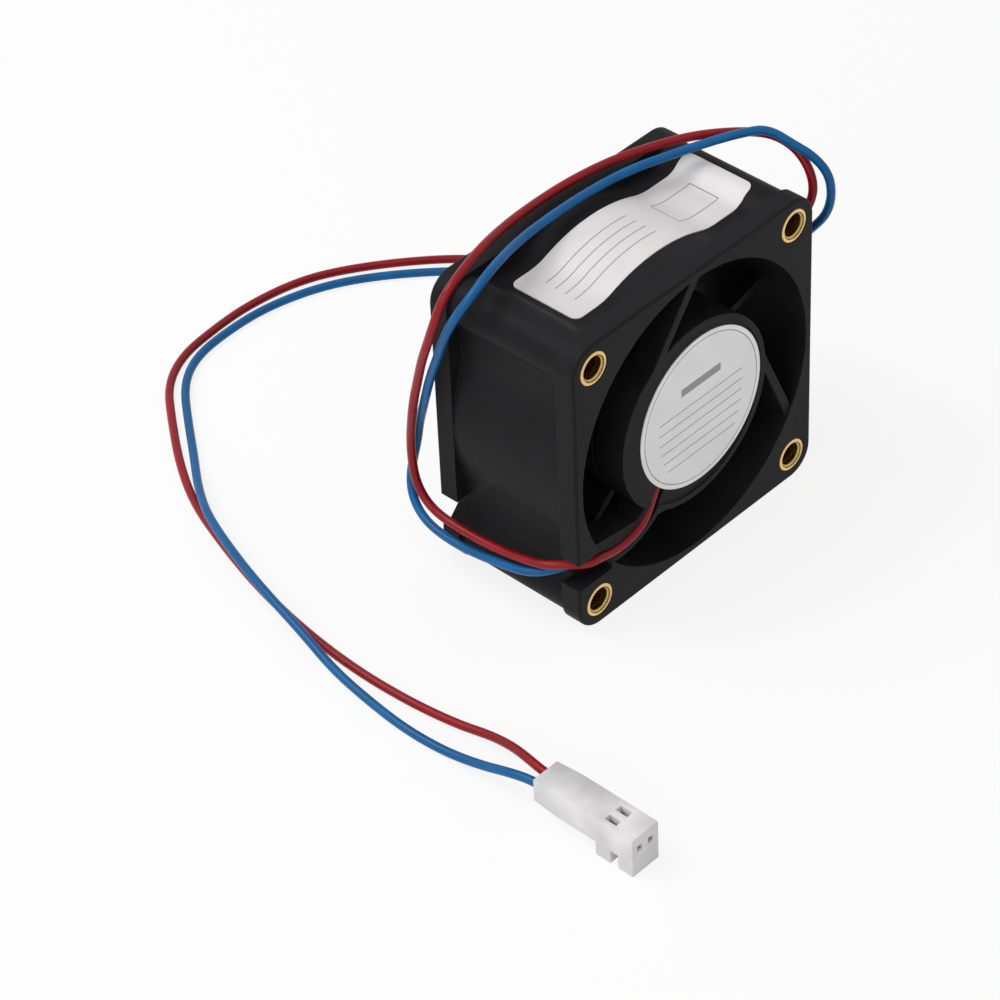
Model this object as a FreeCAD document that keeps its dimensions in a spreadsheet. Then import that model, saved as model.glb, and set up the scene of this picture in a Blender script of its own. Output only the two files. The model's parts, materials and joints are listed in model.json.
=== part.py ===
import FreeCAD, Part
import math
import os

import Sketcher

# Square axial cooling fan with two leads and a plug-in connector, in millimetres.
# The fan stands on its lower edges: X to the right seen from the label side, Y from the label
# side (outlet) to the rotor side (inlet), Z up, origin under the middle of the housing.

V = FreeCAD.Vector

DIMENSIONS = [
    # Housing
    ("frame_side", 60.0, "side of the square housing"),
    ("frame_depth", 32.0, "depth of the housing along the axis"),
    ("flange_thickness", 4.0, "thickness of the front and rear flanges"),
    ("hole_inset", 5.0, "mounting hole centre to the housing side, also the corner radius"),
    ("rim_wall", 1.5, "wall left between the air bore and the housing side"),
    ("barrel_setback", 0.2, "barrel outside below the flange edge"),
    ("web_setback", 3.0, "flat web between barrel and corner post below the flange edge"),
    ("wave_blend", 12.0, "blend radius from barrel to web"),
    ("post_wall", 1.2, "plastic around a mounting bush"),
    ("post_blend", 4.0, "blend radius from web to corner post"),
    ("edge_round", 0.5, "rounding of the flange edges"),
    ("bush_radius", 3.2, "outside radius of a mounting bush"),
    ("bush_bore", 2.15, "bore radius of a mounting bush"),
    # Fixed hub and struts
    ("hub_radius", 18.2, "outside radius of the fixed hub and of the rotor hub"),
    ("hub_setback", 0.4, "fixed hub behind the front face"),
    ("hub_plate", 1.6, "thickness of the fixed hub's front plate"),
    ("skirt_wall", 1.2, "wall of the fixed hub's skirt"),
    ("skirt_depth", 4.6, "depth of the skirt behind the plate"),
    ("recess_depth", 0.3, "depth of the hub label's recess"),
    ("recess_margin", 1.1, "hub rim around the label's recess"),
    ("label_margin", 0.2, "gap beside the hub label where it is nearest its recess's wall"),
    ("label_shift", 1.7, "hub label off the axis, to the right"),
    ("label_thickness", 0.2, "thickness of both labels"),
    ("boss_wall", 1.4, "wall of the boss that holds the bearing tube"),
    ("strut_depth", 4.8, "depth of a strut along the axis"),
    ("strut_width", 2.2, "width of a plain strut round the axis, at the rim"),
    ("strut_root_width", 4.4, "width of a plain strut round the axis, at the hub"),
    ("strut_root_angle", 4.0, "angle where the right-hand strut leaves the hub, seen from the front"),
    ("strut_tip_angle", -32.0, "angle where the right-hand strut meets the rim"),
    ("lead_strut_width", 4.6, "width of the strut that carries the leads"),
    ("strut_bow", 12.7, "bow radius of the strut that carries the leads"),
    ("bow_inset", 9.41, "the lead strut's bow centre inside its tip, along the radius"),
    ("bow_angle", -166.5, "angle of the lead strut's bow centre, seen from the front"),
    ("trough_width", 2.4, "width of the trough for the leads"),
    ("trough_floor", 1.0, "floor of the trough"),
    ("hub_slot_start", 7.0, "radius where the hub's lead slot starts"),
    ("front_notch_drop", 3.7, "bottom of the front flange's lead notch below the trough's end"),
    ("front_notch_height", 5.6, "height of the front notch"),
    ("front_notch_step", 1.4, "front notch deeper than the trough, where the leads turn"),
    ("rear_notch_bottom", 7.0, "bottom of the rear flange's lead notch above the base"),
    ("rear_notch_height", 7.2, "height of the rear notch"),
    ("rear_notch_depth", 4.4, "depth of the rear notch from the housing's side"),
    ("rear_notch_foot", 2.0, "depth of the rear notch at its bottom, beside the bush"),
    ("rear_notch_slope", 2.6, "height over which the rear notch deepens"),
    ("exit_inset", 0.7, "where the leads leave the front notch, inside the housing's side"),
    ("exit_turn", 2.6, "the leads' turn to the rear before they leave"),
    ("exit_run", 1.3, "straight run of a free lead from where it leaves"),
    ("red_drop", 0.3, "drop of the red lead from the trough's end to where it leaves"),
    ("blue_drop", 2.2, "drop of the blue lead from the trough's end to where it leaves"),
    # Bearings
    ("tube_length", 23.0, "length of the bearing tube"),
    ("tube_wall", 1.0, "wall of the bearing tube at a bearing seat"),
    ("tube_shoulder", 0.5, "height of the shoulder behind a bearing"),
    ("bearing_radius", 4.0, "outside radius of a ball bearing"),
    ("bearing_width", 4.0, "width of a ball bearing"),
    ("race_wall", 0.7, "wall of an inner or outer race"),
    ("ball_radius", 0.79, "radius of a ball"),
    ("ball_play", 0.03, "play between a ball and its groove"),
    ("cage_gap", 0.15, "gap between the ball cage and a race"),
    ("cage_edge", 0.35, "cage left beside a ball"),
    ("shaft_radius", 1.5, "radius of the shaft"),
    ("shaft_space", 2.5, "space in front of the front bearing"),
    ("shaft_tip", 0.5, "shaft in front of the retaining clip"),
    ("clip_thickness", 0.4, "thickness of the retaining clip"),
    ("clip_width", 1.6, "radial width of the retaining clip"),
    ("clip_gap", 1.4, "opening of the retaining clip"),
    ("clip_groove", 0.35, "depth of the shaft's clip groove"),
    ("washer_thickness", 0.4, "thickness of the thrust washer"),
    ("washer_radius", 2.1, "outside radius of the thrust washer"),
    ("spring_height", 1.2, "height of the preload spring"),
    ("spring_wall", 0.25, "thickness of the preload spring"),
    # Rotor
    ("rotor_gap", 0.6, "gap between the fixed hub and the rotor hub"),
    ("rotor_setback", 0.8, "rotor hub inside the rear face"),
    ("rotor_round", 1.5, "rounding of the rotor hub's rear edge"),
    ("impeller_wall", 1.5, "side wall of the rotor hub"),
    ("impeller_end", 1.6, "end wall of the rotor hub"),
    ("cup_wall", 1.2, "wall of the steel rotor cup"),
    ("cup_recess", 0.4, "steel cup inside the rotor hub's front edge"),
    ("magnet_thickness", 2.1, "radial thickness of the ring magnet"),
    ("magnet_recess", 0.4, "magnet inside the cup's front edge"),
    ("magnet_length", 16.0, "length of the ring magnet"),
    ("air_gap", 0.4, "gap between stator and magnet"),
    ("shaft_bush_wall", 2.1, "wall of the shaft bush in the cup"),
    ("tip_clearance", 0.6, "gap between blade tips and the air bore"),
    ("blade_front_gap", 0.8, "blade behind the rotor hub's front edge"),
    ("blade_rear_gap", 0.7, "blade in front of the rotor hub's rear face"),
    ("blade_root_sweep", 6.0, "half the blade's sweep at the root"),
    ("blade_tip_sweep", 10.0, "half the blade's sweep at the tip"),
    ("blade_thickness", 1.6, "blade thickness round the hub"),
    ("blade_root_camber", 32.0, "camber radius at the root"),
    ("blade_tip_camber", 40.0, "camber radius at the tip"),
    # Stator and electronics
    ("board_recess", 0.2, "circuit board inside the skirt's edge"),
    ("board_thickness", 1.2, "thickness of the circuit board"),
    ("board_clearance", 0.3, "gap between the board and the skirt or the tube"),
    ("stack_standoff", 4.6, "stator stack behind the board"),
    ("stack_length", 11.0, "length of the stator stack"),
    ("core_wall", 2.0, "wall of the stator's inner ring"),
    ("shoe_thickness", 1.4, "thickness of a pole shoe"),
    ("shoe_gap", 3.4, "opening between two pole shoes"),
    ("neck_width", 4.0, "width of a pole neck"),
    ("insulator_thickness", 1.2, "thickness of an insulating end plate"),
    ("coil_build", 2.4, "thickness of a winding beside its neck"),
    ("coil_overhang", 1.8, "thickness of a winding beyond the end plates"),
    ("coil_gap", 0.1, "gap between a winding and the stator ring"),
    ("coil_round", 1.4, "rounding of a winding"),
    ("chip_length", 5.0, "length of the driver chip"),
    ("chip_width", 4.0, "width of the driver chip"),
    ("chip_height", 1.6, "height of the driver chip"),
    ("sensor_length", 3.0, "length of the position sensor"),
    ("sensor_width", 1.6, "width of the position sensor"),
    ("sensor_height", 0.9, "height of the position sensor"),
    ("capacitor_radius", 2.0, "radius of the capacitor"),
    ("capacitor_height", 2.6, "height of the capacitor"),
    ("resistor_length", 2.0, "length of a resistor"),
    ("resistor_width", 1.25, "width of a resistor"),
    ("resistor_height", 0.6, "height of a resistor"),
    # Side label, leads and connector
    ("side_label_width", 44.4, "width of the side label"),
    ("side_label_depth", 14.8, "depth of the side label along the axis"),
    ("side_label_front", 8.6, "side label behind the front face"),
    ("side_label_shift", 2.6, "side label off the middle, to the right"),
    ("side_label_round", 1.5, "corner radius of the side label"),
    ("lead_radius", 0.8, "radius of a lead"),
    ("lead_gap", 0.1, "gap between a lead and what it lies on"),
    ("plug_length", 21.5, "length of the connector"),
    ("plug_width", 6.2, "width of the connector"),
    ("plug_height", 5.2, "height of the connector's body"),
    ("plug_foot", 2.8, "height of the connector's locking feet"),
    ("foot_length", 3.2, "length of a locking foot"),
    ("foot_gap", 1.6, "gap between the locking feet"),
    ("plug_pitch", 2.6, "distance between the two contacts"),
    ("cavity_width", 2.0, "width of a contact cavity"),
    ("cavity_end", 1.2, "end wall of a contact cavity"),
    ("contact_mouth", 1.2, "opening for a mating pin"),
    ("contact_depth", 1.5, "contact behind the connector's wire end"),
    ("contact_clearance", 0.1, "gap between a contact and its cavity"),
    ("crimp_length", 4.0, "length of a contact's crimp barrel"),
    ("window_length", 2.4, "length of a lance window"),
    ("window_width", 1.3, "width of a lance window"),
    ("window_inset", 4.4, "lance window from the mating end"),
    ("plug_round", 0.4, "rounding of the connector's long edges"),
    ("plug_x", -63.2, "middle of the connector"),
    ("plug_wire_end", -38.6, "wire end of the connector"),
]

STRUTS = 3
BLADES = 7
BALLS = 7
POLES = 4
RESISTORS = 3
RESISTOR_START = 120  # degrees round the axis
RESISTOR_STEP = 22
SAME = 1e-3  # places nearer than this are one

doc = FreeCAD.newDocument("axial_fan")
sheet = doc.addObject("Spreadsheet::Sheet", "dims")
for row, (alias, size, note) in enumerate(DIMENSIONS, start=1):
    sheet.set(f"A{row}", note)
    sheet.set(f"B{row}", str(size))
    sheet.setAlias(f"B{row}", alias)
doc.recompute()

sub_parts = []


# Radii and positions that follow from the driving dimensions
HALF_SIDE = "(dims.frame_side / 2)"
AXIS = HALF_SIDE
FRONT = "(-dims.frame_depth / 2)"
REAR = "(dims.frame_depth / 2)"
FLANGE_BACK = f"({FRONT} + dims.flange_thickness)"
REAR_FLANGE = f"({REAR} - dims.flange_thickness)"
HOLE = f"({HALF_SIDE} - dims.hole_inset)"
BORE = f"({HALF_SIDE} - dims.rim_wall)"
BARREL = f"({HALF_SIDE} - dims.barrel_setback)"
WEB = f"({HALF_SIDE} - dims.web_setback)"
POST = "(dims.bush_radius + dims.post_wall)"

HUB_FACE = f"({FRONT} + dims.hub_setback)"
RECESS_FLOOR = f"({HUB_FACE} + dims.recess_depth)"
RECESS = "(dims.hub_radius - dims.recess_margin)"
PLATE_BACK = f"({HUB_FACE} + dims.hub_plate)"
SKIRT_INSIDE = "(dims.hub_radius - dims.skirt_wall)"
SKIRT_END = f"({PLATE_BACK} + dims.skirt_depth)"
STRUT_BACK = f"({HUB_FACE} + dims.strut_depth)"
TROUGH_FLOOR = f"({STRUT_BACK} - dims.trough_floor)"
STRUT_ROOT = "(dims.hub_radius - dims.skirt_wall / 2)"
STRUT_TIP = f"(({BORE} + {BARREL}) / 2)"
BOW_CENTRE = f"({STRUT_TIP} - dims.bow_inset)"


def bow_meets(radius, reach):
    """Angle in degrees where a strut's bow of some reach meets a radius about the axis"""
    squares = f"({BOW_CENTRE} * {BOW_CENTRE} + {radius} * {radius} - {reach} * {reach})"
    return f"(dims.bow_angle + acos({squares} / (2 * {BOW_CENTRE} * {radius})) / 1 deg)"


HUB_ANGLE = bow_meets(STRUT_ROOT, "dims.strut_bow")
RIM_ANGLE = bow_meets(STRUT_TIP, "dims.strut_bow")

TUBE_OUTSIDE = "(dims.bearing_radius + dims.tube_wall)"
TUBE_BACK = f"({PLATE_BACK} + dims.tube_length)"
FRONT_BEARING = f"({PLATE_BACK} + dims.shaft_space)"
REAR_BEARING = f"({TUBE_BACK} - dims.bearing_width)"
OUTER_RACE = "(dims.bearing_radius - dims.race_wall)"
INNER_RACE = "(dims.shaft_radius + dims.race_wall)"
BALL_CIRCLE = f"(({OUTER_RACE} + {INNER_RACE}) / 2)"
BALL_GROOVE = "(dims.ball_radius + dims.ball_play)"
CLIP_BACK = f"({FRONT_BEARING} - dims.washer_thickness)"
CLIP_FRONT = f"({CLIP_BACK} - dims.clip_thickness)"
SHAFT_FRONT = f"({CLIP_FRONT} - dims.shaft_tip)"
GROOVE = "(dims.shaft_radius - dims.clip_groove)"

ROTOR_FRONT = f"({SKIRT_END} + dims.rotor_gap)"
ROTOR_BACK = f"({REAR} - dims.rotor_setback)"
CUP_OUTSIDE = "(dims.hub_radius - dims.impeller_wall)"
CUP_INSIDE = f"({CUP_OUTSIDE} - dims.cup_wall)"
CUP_FRONT = f"({ROTOR_FRONT} + dims.cup_recess)"
CUP_BACK = f"({ROTOR_BACK} - dims.impeller_end)"
SHAFT_BUSH = "(dims.shaft_radius + dims.shaft_bush_wall)"
SHAFT_BUSH_FRONT = f"({TUBE_BACK} + dims.spring_height)"
MAGNET_FRONT = f"({CUP_FRONT} + dims.magnet_recess)"
MAGNET_BACK = f"({MAGNET_FRONT} + dims.magnet_length)"
MAGNET_INSIDE = f"({CUP_INSIDE} - dims.magnet_thickness)"
STATOR = f"({MAGNET_INSIDE} - dims.air_gap)"
BLADE_TIP = f"({BORE} - dims.tip_clearance)"
BLADE_FRONT = f"({ROTOR_FRONT} + dims.blade_front_gap)"
BLADE_BACK = f"({ROTOR_BACK} - dims.blade_rear_gap)"

BOARD_BACK = f"({SKIRT_END} - dims.board_recess)"
BOARD_FRONT = f"({BOARD_BACK} - dims.board_thickness)"
STACK_FRONT = f"({BOARD_BACK} + dims.stack_standoff)"
STACK_BACK = f"({STACK_FRONT} + dims.stack_length)"
CORE_RING = f"({TUBE_OUTSIDE} + dims.core_wall)"
SHOE = f"({STATOR} - dims.shoe_thickness)"
INSULATOR_FRONT = f"({STACK_FRONT} - dims.insulator_thickness)"
INSULATOR_BACK = f"({STACK_BACK} + dims.insulator_thickness)"
COIL_HALF = "(dims.neck_width / 2 + dims.coil_build)"


def size_of(expression):
    """Number that an expression over the sheet stands for now"""
    return float(sheet.evalExpression(expression))


def polar(radius, angle):
    """Pair of expressions for a point at a radius and an angle in degrees"""
    return f"{radius} * cos({angle})", f"{radius} * sin({angle})"


def spread(width, radius):
    """Half the angle in degrees that a width covers at a radius"""
    return f"(asin({width} / 2 / {radius}) / 1 deg)"


def keep(sub_part):
    sub_parts.append(sub_part)
    return sub_part


# Sketch helpers: every vertex is tied to the sheet
def sketch_on(body, name, role, offset):
    sketch = body.newObject("Sketcher::SketchObject", name)
    plane = next(item for item in body.Origin.OriginFeatures if item.Role == role)
    sketch.AttachmentSupport = [(plane, "")]
    sketch.MapMode = "FlatFace"
    sketch.setExpression("AttachmentOffset.Base.z", offset)
    return sketch


def tie(sketch, kind, expression, *where):
    index = sketch.addConstraint(Sketcher.Constraint(kind, *where, size_of(expression)))
    sketch.setExpression(f"Constraints[{index}]", expression)


def pin(sketch, geometry, vertex, point):
    tie(sketch, "DistanceX", point[0], -1, 1, geometry, vertex)
    tie(sketch, "DistanceY", point[1], -1, 1, geometry, vertex)


def place_of(point):
    return V(size_of(point[0]), size_of(point[1]), 0)


def draw_circle(sketch, point, radius):
    circle = sketch.addGeometry(Part.Circle(place_of(point), V(0, 0, 1), size_of(radius)))
    tie(sketch, "Radius", radius, circle)
    pin(sketch, circle, 3, point)


def draw_polygon(sketch, points):
    places = [place_of(point) for point in points]
    lines = [
        sketch.addGeometry(Part.LineSegment(place, places[(index + 1) % len(places)]))
        for index, place in enumerate(places)
    ]
    for index, line in enumerate(lines):
        following = lines[(index + 1) % len(lines)]
        sketch.addConstraint(Sketcher.Constraint("Coincident", line, 2, following, 1))
        pin(sketch, line, 1, points[index])


def draw_rectangle(sketch, low, high):
    draw_polygon(sketch, [low, (high[0], low[1]), high, (low[0], high[1])])


def draw_arc(sketch, start, end, radius, bulge):
    """Arc from start to end that bulges towards a direction; gives its index and its two vertices"""
    first, last = place_of(start), place_of(end)
    chord = last - first
    reach = size_of(radius)
    sagitta = reach - math.sqrt(reach ** 2 - (chord.Length / 2) ** 2)
    side = V(-chord.y, chord.x, 0).normalize()
    if side.dot(bulge) < 0:
        side = side * -1
    middle = (first + last) * 0.5 + side * sagitta
    # A sketch counts an arc's ends counterclockwise
    clockwise = (middle - first).cross(last - middle).z < 0
    ends = (last, first) if clockwise else (first, last)
    arc = sketch.addGeometry(Part.Arc(ends[0], middle, ends[1]))
    tie(sketch, "Radius", radius, arc)
    return (arc, 2, 1) if clockwise else (arc, 1, 2)


def draw_bowed_strip(sketch, corners, radii, bulge):
    """Strip of four corners: its two long sides are arcs, its two ends are straight"""
    near_start, near_end, far_end, far_start = corners
    near, near_first, near_last = draw_arc(sketch, near_start, near_end, radii[0], bulge)
    far, far_first, far_last = draw_arc(sketch, far_start, far_end, radii[1], bulge)
    ends = [(near_start, far_start, near_first, far_first), (near_end, far_end, near_last, far_last)]
    for near_point, far_point, near_vertex, far_vertex in ends:
        line = sketch.addGeometry(Part.LineSegment(place_of(near_point), place_of(far_point)))
        sketch.addConstraint(Sketcher.Constraint("Coincident", line, 1, near, near_vertex))
        sketch.addConstraint(Sketcher.Constraint("Coincident", line, 2, far, far_vertex))
        pin(sketch, line, 1, near_point)
        pin(sketch, line, 2, far_point)


# Feature helpers
def new_body(label, on_axis=True):
    body = doc.addObject("PartDesign::Body", label)
    if on_axis:
        body.setExpression("Placement.Base.z", AXIS)
    return keep(body)


def pad(body, name, y_low, y_high):
    """Pad between two places along Y; gives its sketch, still to be drawn"""
    sketch = sketch_on(body, name + "_outline", "XZ_Plane", f"-{y_high}")
    feature = body.newObject("PartDesign::Pad", name)
    feature.Profile = sketch
    feature.setExpression("Length", f"{y_high} - {y_low}")
    return sketch, feature


def pocket(body, name, y_low, y_high):
    """Pocket between two places along Y; gives its sketch, still to be drawn"""
    sketch = sketch_on(body, name + "_outline", "XZ_Plane", f"-{y_low}")
    feature = body.newObject("PartDesign::Pocket", name)
    feature.Profile = sketch
    feature.setExpression("Length", f"{y_high} - {y_low}")
    return sketch, feature


def revolve(body, name, profile, kind="Revolution"):
    """Turn a profile of (radius, place along Y) points about the fan's axis"""
    sketch = sketch_on(body, name + "_profile", "XY_Plane", "0")
    draw_polygon(sketch, profile)
    feature = body.newObject("PartDesign::" + kind, name)
    feature.Profile = sketch
    feature.ReferenceAxis = (sketch, ["V_Axis"])
    feature.Angle = 360
    return feature


def pattern(body, name, originals, copies):
    feature = body.newObject("PartDesign::PolarPattern", name)
    feature.Originals = originals
    axis = next(item for item in body.Origin.OriginFeatures if item.Role == "Y_Axis")
    feature.Axis = (axis, [""])
    feature.Angle = 360
    feature.Occurrences = copies
    body.Tip = feature
    return feature


def round_edges(body, name, radius, wanted):
    """Fillet the edges of the body's last feature that a test picks"""
    doc.recompute()
    base = body.Tip
    edges = [f"Edge{index}" for index, edge in enumerate(base.Shape.Edges, start=1) if wanted(edge)]
    feature = body.newObject("PartDesign::Fillet", name)
    feature.Base = (base, edges)
    feature.setExpression("Radius", radius)
    return feature


def along_axis(edge, places):
    """True for a straight edge along Y that stands at one of the (x, z) places"""
    first, last = edge.Vertexes[0].Point, edge.Vertexes[-1].Point
    if math.hypot(first.x - last.x, first.z - last.z) > SAME:
        return False
    return any(math.hypot(first.x - x, first.z - z) < SAME for x, z in places)


def mirrored_places(along, across):
    """The eight places of an (along, across) pair on the four sides of the housing"""
    return [
        place
        for sign in (1, -1)
        for other in (1, -1)
        for place in ((sign * along, other * across), (other * across, sign * along))
    ]


# Primitive helpers for plain pieces
def put_at(solid, place):
    for axis, expression in zip("xyz", place):
        solid.setExpression("Placement.Base." + axis, expression)


def group(label, solids):
    compound = doc.addObject("Part::Compound", label)
    compound.Links = solids
    return compound


def cylinder(name, radius, y_low, y_high, x="0", z=AXIS):
    solid = doc.addObject("Part::Cylinder", name)
    solid.Placement = FreeCAD.Placement(V(0, 0, 0), FreeCAD.Rotation(V(1, 0, 0), -90))
    solid.setExpression("Radius", radius)
    solid.setExpression("Height", f"{y_high} - {y_low}")
    put_at(solid, (x, y_low, z))
    return solid


def cut(label, base, tool):
    solid = doc.addObject("Part::Cut", label)
    solid.Base = base
    solid.Tool = tool
    return solid


def tube(label, outside, inside, y_low, y_high, x="0", z=AXIS):
    outer = cylinder(label + "_outside", outside, y_low, y_high, x, z)
    inner = cylinder(label + "_hole", inside, y_low, y_high, x, z)
    return cut(label, outer, inner)


def box(name, sizes, corner):
    solid = doc.addObject("Part::Box", name)
    for side, expression in zip(("Length", "Width", "Height"), sizes):
        solid.setExpression(side, expression)
    put_at(solid, corner)
    return solid


def turned(label, profile):
    body = new_body(label)
    revolve(body, label + "_turned", profile)
    return body


# Housing: fixed hub, struts, barrel with corner posts and two flanges, moulded in one
def draw_plain_strut(sketch):
    """Straight strip from the hub's skirt into the barrel's wall"""
    root, tip = "dims.strut_root_angle", "dims.strut_tip_angle"
    root_half = spread("dims.strut_root_width", STRUT_ROOT)
    tip_half = spread("dims.strut_width", STRUT_TIP)
    draw_polygon(sketch, [
        polar(STRUT_ROOT, f"({root} - {root_half})"), polar(STRUT_TIP, f"({tip} - {tip_half})"),
        polar(STRUT_TIP, f"({tip} + {tip_half})"), polar(STRUT_ROOT, f"({root} + {root_half})"),
    ])


def draw_lead_strut(sketch, width):
    """Strip of constant width about the lead strut's bow, from the hub's skirt into the barrel's wall"""
    inner = f"(dims.strut_bow - {width} / 2)"
    outer = f"(dims.strut_bow + {width} / 2)"
    ends = [(STRUT_ROOT, inner), (STRUT_TIP, inner), (STRUT_TIP, outer), (STRUT_ROOT, outer)]
    corners = [polar(radius, bow_meets(radius, reach)) for radius, reach in ends]
    bow_centre = place_of(polar(BOW_CENTRE, "dims.bow_angle"))
    away = place_of(corners[2]) + place_of(corners[3]) - bow_centre * 2
    draw_bowed_strip(sketch, corners, (inner, outer), away)


def draw_square(sketch, half):
    draw_rectangle(sketch, (f"-{half}", f"-{half}"), (half, half))


def at_mounting_holes(sketch, radius):
    for x in (HOLE, f"-{HOLE}"):
        for z in (HOLE, f"-{HOLE}"):
            draw_circle(sketch, (x, z), radius)


def make_shell(body):
    """Barrel, corner posts and flanges; gives the feature with the outline between the flanges"""
    sketch, _ = pad(body, "barrel", FRONT, REAR)
    draw_circle(sketch, ("0", "0"), BARREL)
    sketch, _ = pad(body, "web", FRONT, REAR)
    draw_square(sketch, WEB)
    sketch, _ = pad(body, "posts", FRONT, REAR)
    at_mounting_holes(sketch, POST)
    web = size_of(WEB)
    barrel_meets = math.sqrt(size_of(BARREL) ** 2 - web ** 2)
    post_meets = size_of(HOLE) - math.sqrt(size_of(POST) ** 2 - (web - size_of(HOLE)) ** 2)
    wave = mirrored_places(barrel_meets, web)
    blend = mirrored_places(post_meets, web)
    round_edges(body, "wave_blends", "dims.wave_blend", lambda edge: along_axis(edge, wave))
    outline = round_edges(body, "post_blends", "dims.post_blend", lambda edge: along_axis(edge, blend))

    for name, low, high in (("front_flange", FRONT, FLANGE_BACK), ("rear_flange", REAR_FLANGE, REAR)):
        sketch, _ = pad(body, name, low, high)
        draw_square(sketch, HALF_SIDE)
    half = size_of(HALF_SIDE)
    corners = [(x, z) for x in (half, -half) for z in (half, -half)]
    round_edges(body, "corners", "dims.hole_inset", lambda edge: along_axis(edge, corners))
    faces = [size_of(place) for place in (FRONT, REAR)]

    def on_end_face(edge):
        return any(all(abs(point.y - face) < SAME for point in edge.discretize(3)) for face in faces)
    round_edges(body, "flange_edges", "dims.edge_round", on_end_face)
    sketch, _ = pocket(body, "bore", FRONT, REAR)
    draw_circle(sketch, ("0", "0"), BORE)
    sketch, _ = pocket(body, "bush_holes", FRONT, REAR)
    at_mounting_holes(sketch, "dims.bush_radius")
    return outline


def cut_notches(body):
    """Notches for the leads in both flanges"""
    side = f"(-{HALF_SIDE} - dims.rim_wall)"
    end_x, end_z = polar(STRUT_TIP, RIM_ANGLE)
    bottom = f"({end_z} - dims.front_notch_drop)"
    top = f"({bottom} + dims.front_notch_height)"
    sketch, _ = pocket(body, "front_notch", FRONT, f"({TROUGH_FLOOR} + dims.front_notch_step)")
    draw_rectangle(sketch, (side, bottom), (f"({end_x} + dims.trough_width)", top))
    bottom = f"(dims.rear_notch_bottom - {AXIS})"
    top = f"({bottom} + dims.rear_notch_height)"
    foot = f"(-{HALF_SIDE} + dims.rear_notch_foot)"
    depth = f"(-{HALF_SIDE} + dims.rear_notch_depth)"
    sketch, _ = pocket(body, "rear_notch", REAR_FLANGE, REAR)
    slope_top = f"({bottom} + dims.rear_notch_slope)"
    draw_polygon(sketch, [(side, bottom), (foot, bottom), (depth, slope_top), (depth, top), (side, top)])


def add_hub(body):
    """Fixed hub with its label recess, skirt and boss, and the struts that carry it"""
    boss = f"({TUBE_OUTSIDE} + dims.boss_wall)"
    revolve(body, "hub", [
        ("0", RECESS_FLOOR), (RECESS, RECESS_FLOOR), (RECESS, HUB_FACE), ("dims.hub_radius", HUB_FACE),
        ("dims.hub_radius", SKIRT_END), (SKIRT_INSIDE, SKIRT_END), (SKIRT_INSIDE, PLATE_BACK),
        (boss, PLATE_BACK), (boss, BOARD_FRONT), (TUBE_OUTSIDE, BOARD_FRONT), (TUBE_OUTSIDE, PLATE_BACK),
        ("0", PLATE_BACK),
    ])
    sketch, strut = pad(body, "strut", HUB_FACE, STRUT_BACK)
    draw_plain_strut(sketch)
    pattern(body, "struts", [strut], STRUTS)
    sketch, _ = pad(body, "lead_strut", HUB_FACE, STRUT_BACK)
    draw_lead_strut(sketch, "dims.lead_strut_width")


def make_housing():
    body = new_body("housing")
    outline = make_shell(body)
    cut_notches(body)
    add_hub(body)
    cut_trough(body)
    return outline


def cut_trough(body):
    """Way for the leads in the lead strut and the hub"""
    sketch, _ = pocket(body, "trough", FRONT, TROUGH_FLOOR)
    draw_lead_strut(sketch, "dims.trough_width")
    sketch, _ = pocket(body, "hub_slot", FRONT, TROUGH_FLOOR)
    half_start = spread("dims.trough_width", "dims.hub_slot_start")
    half_end = spread("dims.trough_width", STRUT_ROOT)
    draw_polygon(sketch, [
        polar("dims.hub_slot_start", f"({HUB_ANGLE} - {half_start})"),
        polar(STRUT_ROOT, f"({HUB_ANGLE} - {half_end})"),
        polar(STRUT_ROOT, f"({HUB_ANGLE} + {half_end})"),
        polar("dims.hub_slot_start", f"({HUB_ANGLE} + {half_start})"),
    ])


def make_mounting_bushes():
    for height, z in (("top", f"({AXIS} + {HOLE})"), ("bottom", f"({AXIS} - {HOLE})")):
        for side, x in (("left", f"-{HOLE}"), ("right", HOLE)):
            name = f"mounting_bush_{height}_{side}"
            keep(tube(name, "dims.bush_radius", "dims.bush_bore", FRONT, REAR, x, z))


def make_labels(outline):
    label_face = f"({RECESS_FLOOR} - dims.label_thickness)"
    hub_label_radius = f"({RECESS} - dims.label_margin - dims.label_shift)"
    keep(cylinder("hub_label", hub_label_radius, label_face, RECESS_FLOOR, "dims.label_shift"))
    # The side label follows the wavy top between the flanges, one label thickness thick
    front = size_of(f"{FRONT} + dims.side_label_front")
    depth = size_of("dims.side_label_depth")
    thickness = size_of("dims.label_thickness")
    half = size_of("dims.side_label_width / 2")
    left = size_of("dims.side_label_shift") - half
    edge = max(outline.Shape.slice(V(0, 1, 0), front), key=lambda wire: wire.BoundBox.DiagonalLength)
    skin = Part.Face(edge.makeOffset2D(thickness)).cut(Part.Face(edge))
    band = skin.extrude(V(0, depth, 0))
    under = size_of(f"{WEB} - dims.web_setback")
    patch = Part.makeBox(2 * half, depth, size_of(HALF_SIDE), V(left, front, under))
    corners = [item for item in patch.Edges if abs(item.tangentAt(0).z) > SAME]
    patch = patch.makeFillet(size_of("dims.side_label_round"), corners)
    label = doc.addObject("Part::Feature", "side_label")
    label.Shape = band.common(patch).Solids[0]
    label.Placement = FreeCAD.Placement(V(0, 0, size_of(AXIS)), FreeCAD.Rotation())
    keep(label)


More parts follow.
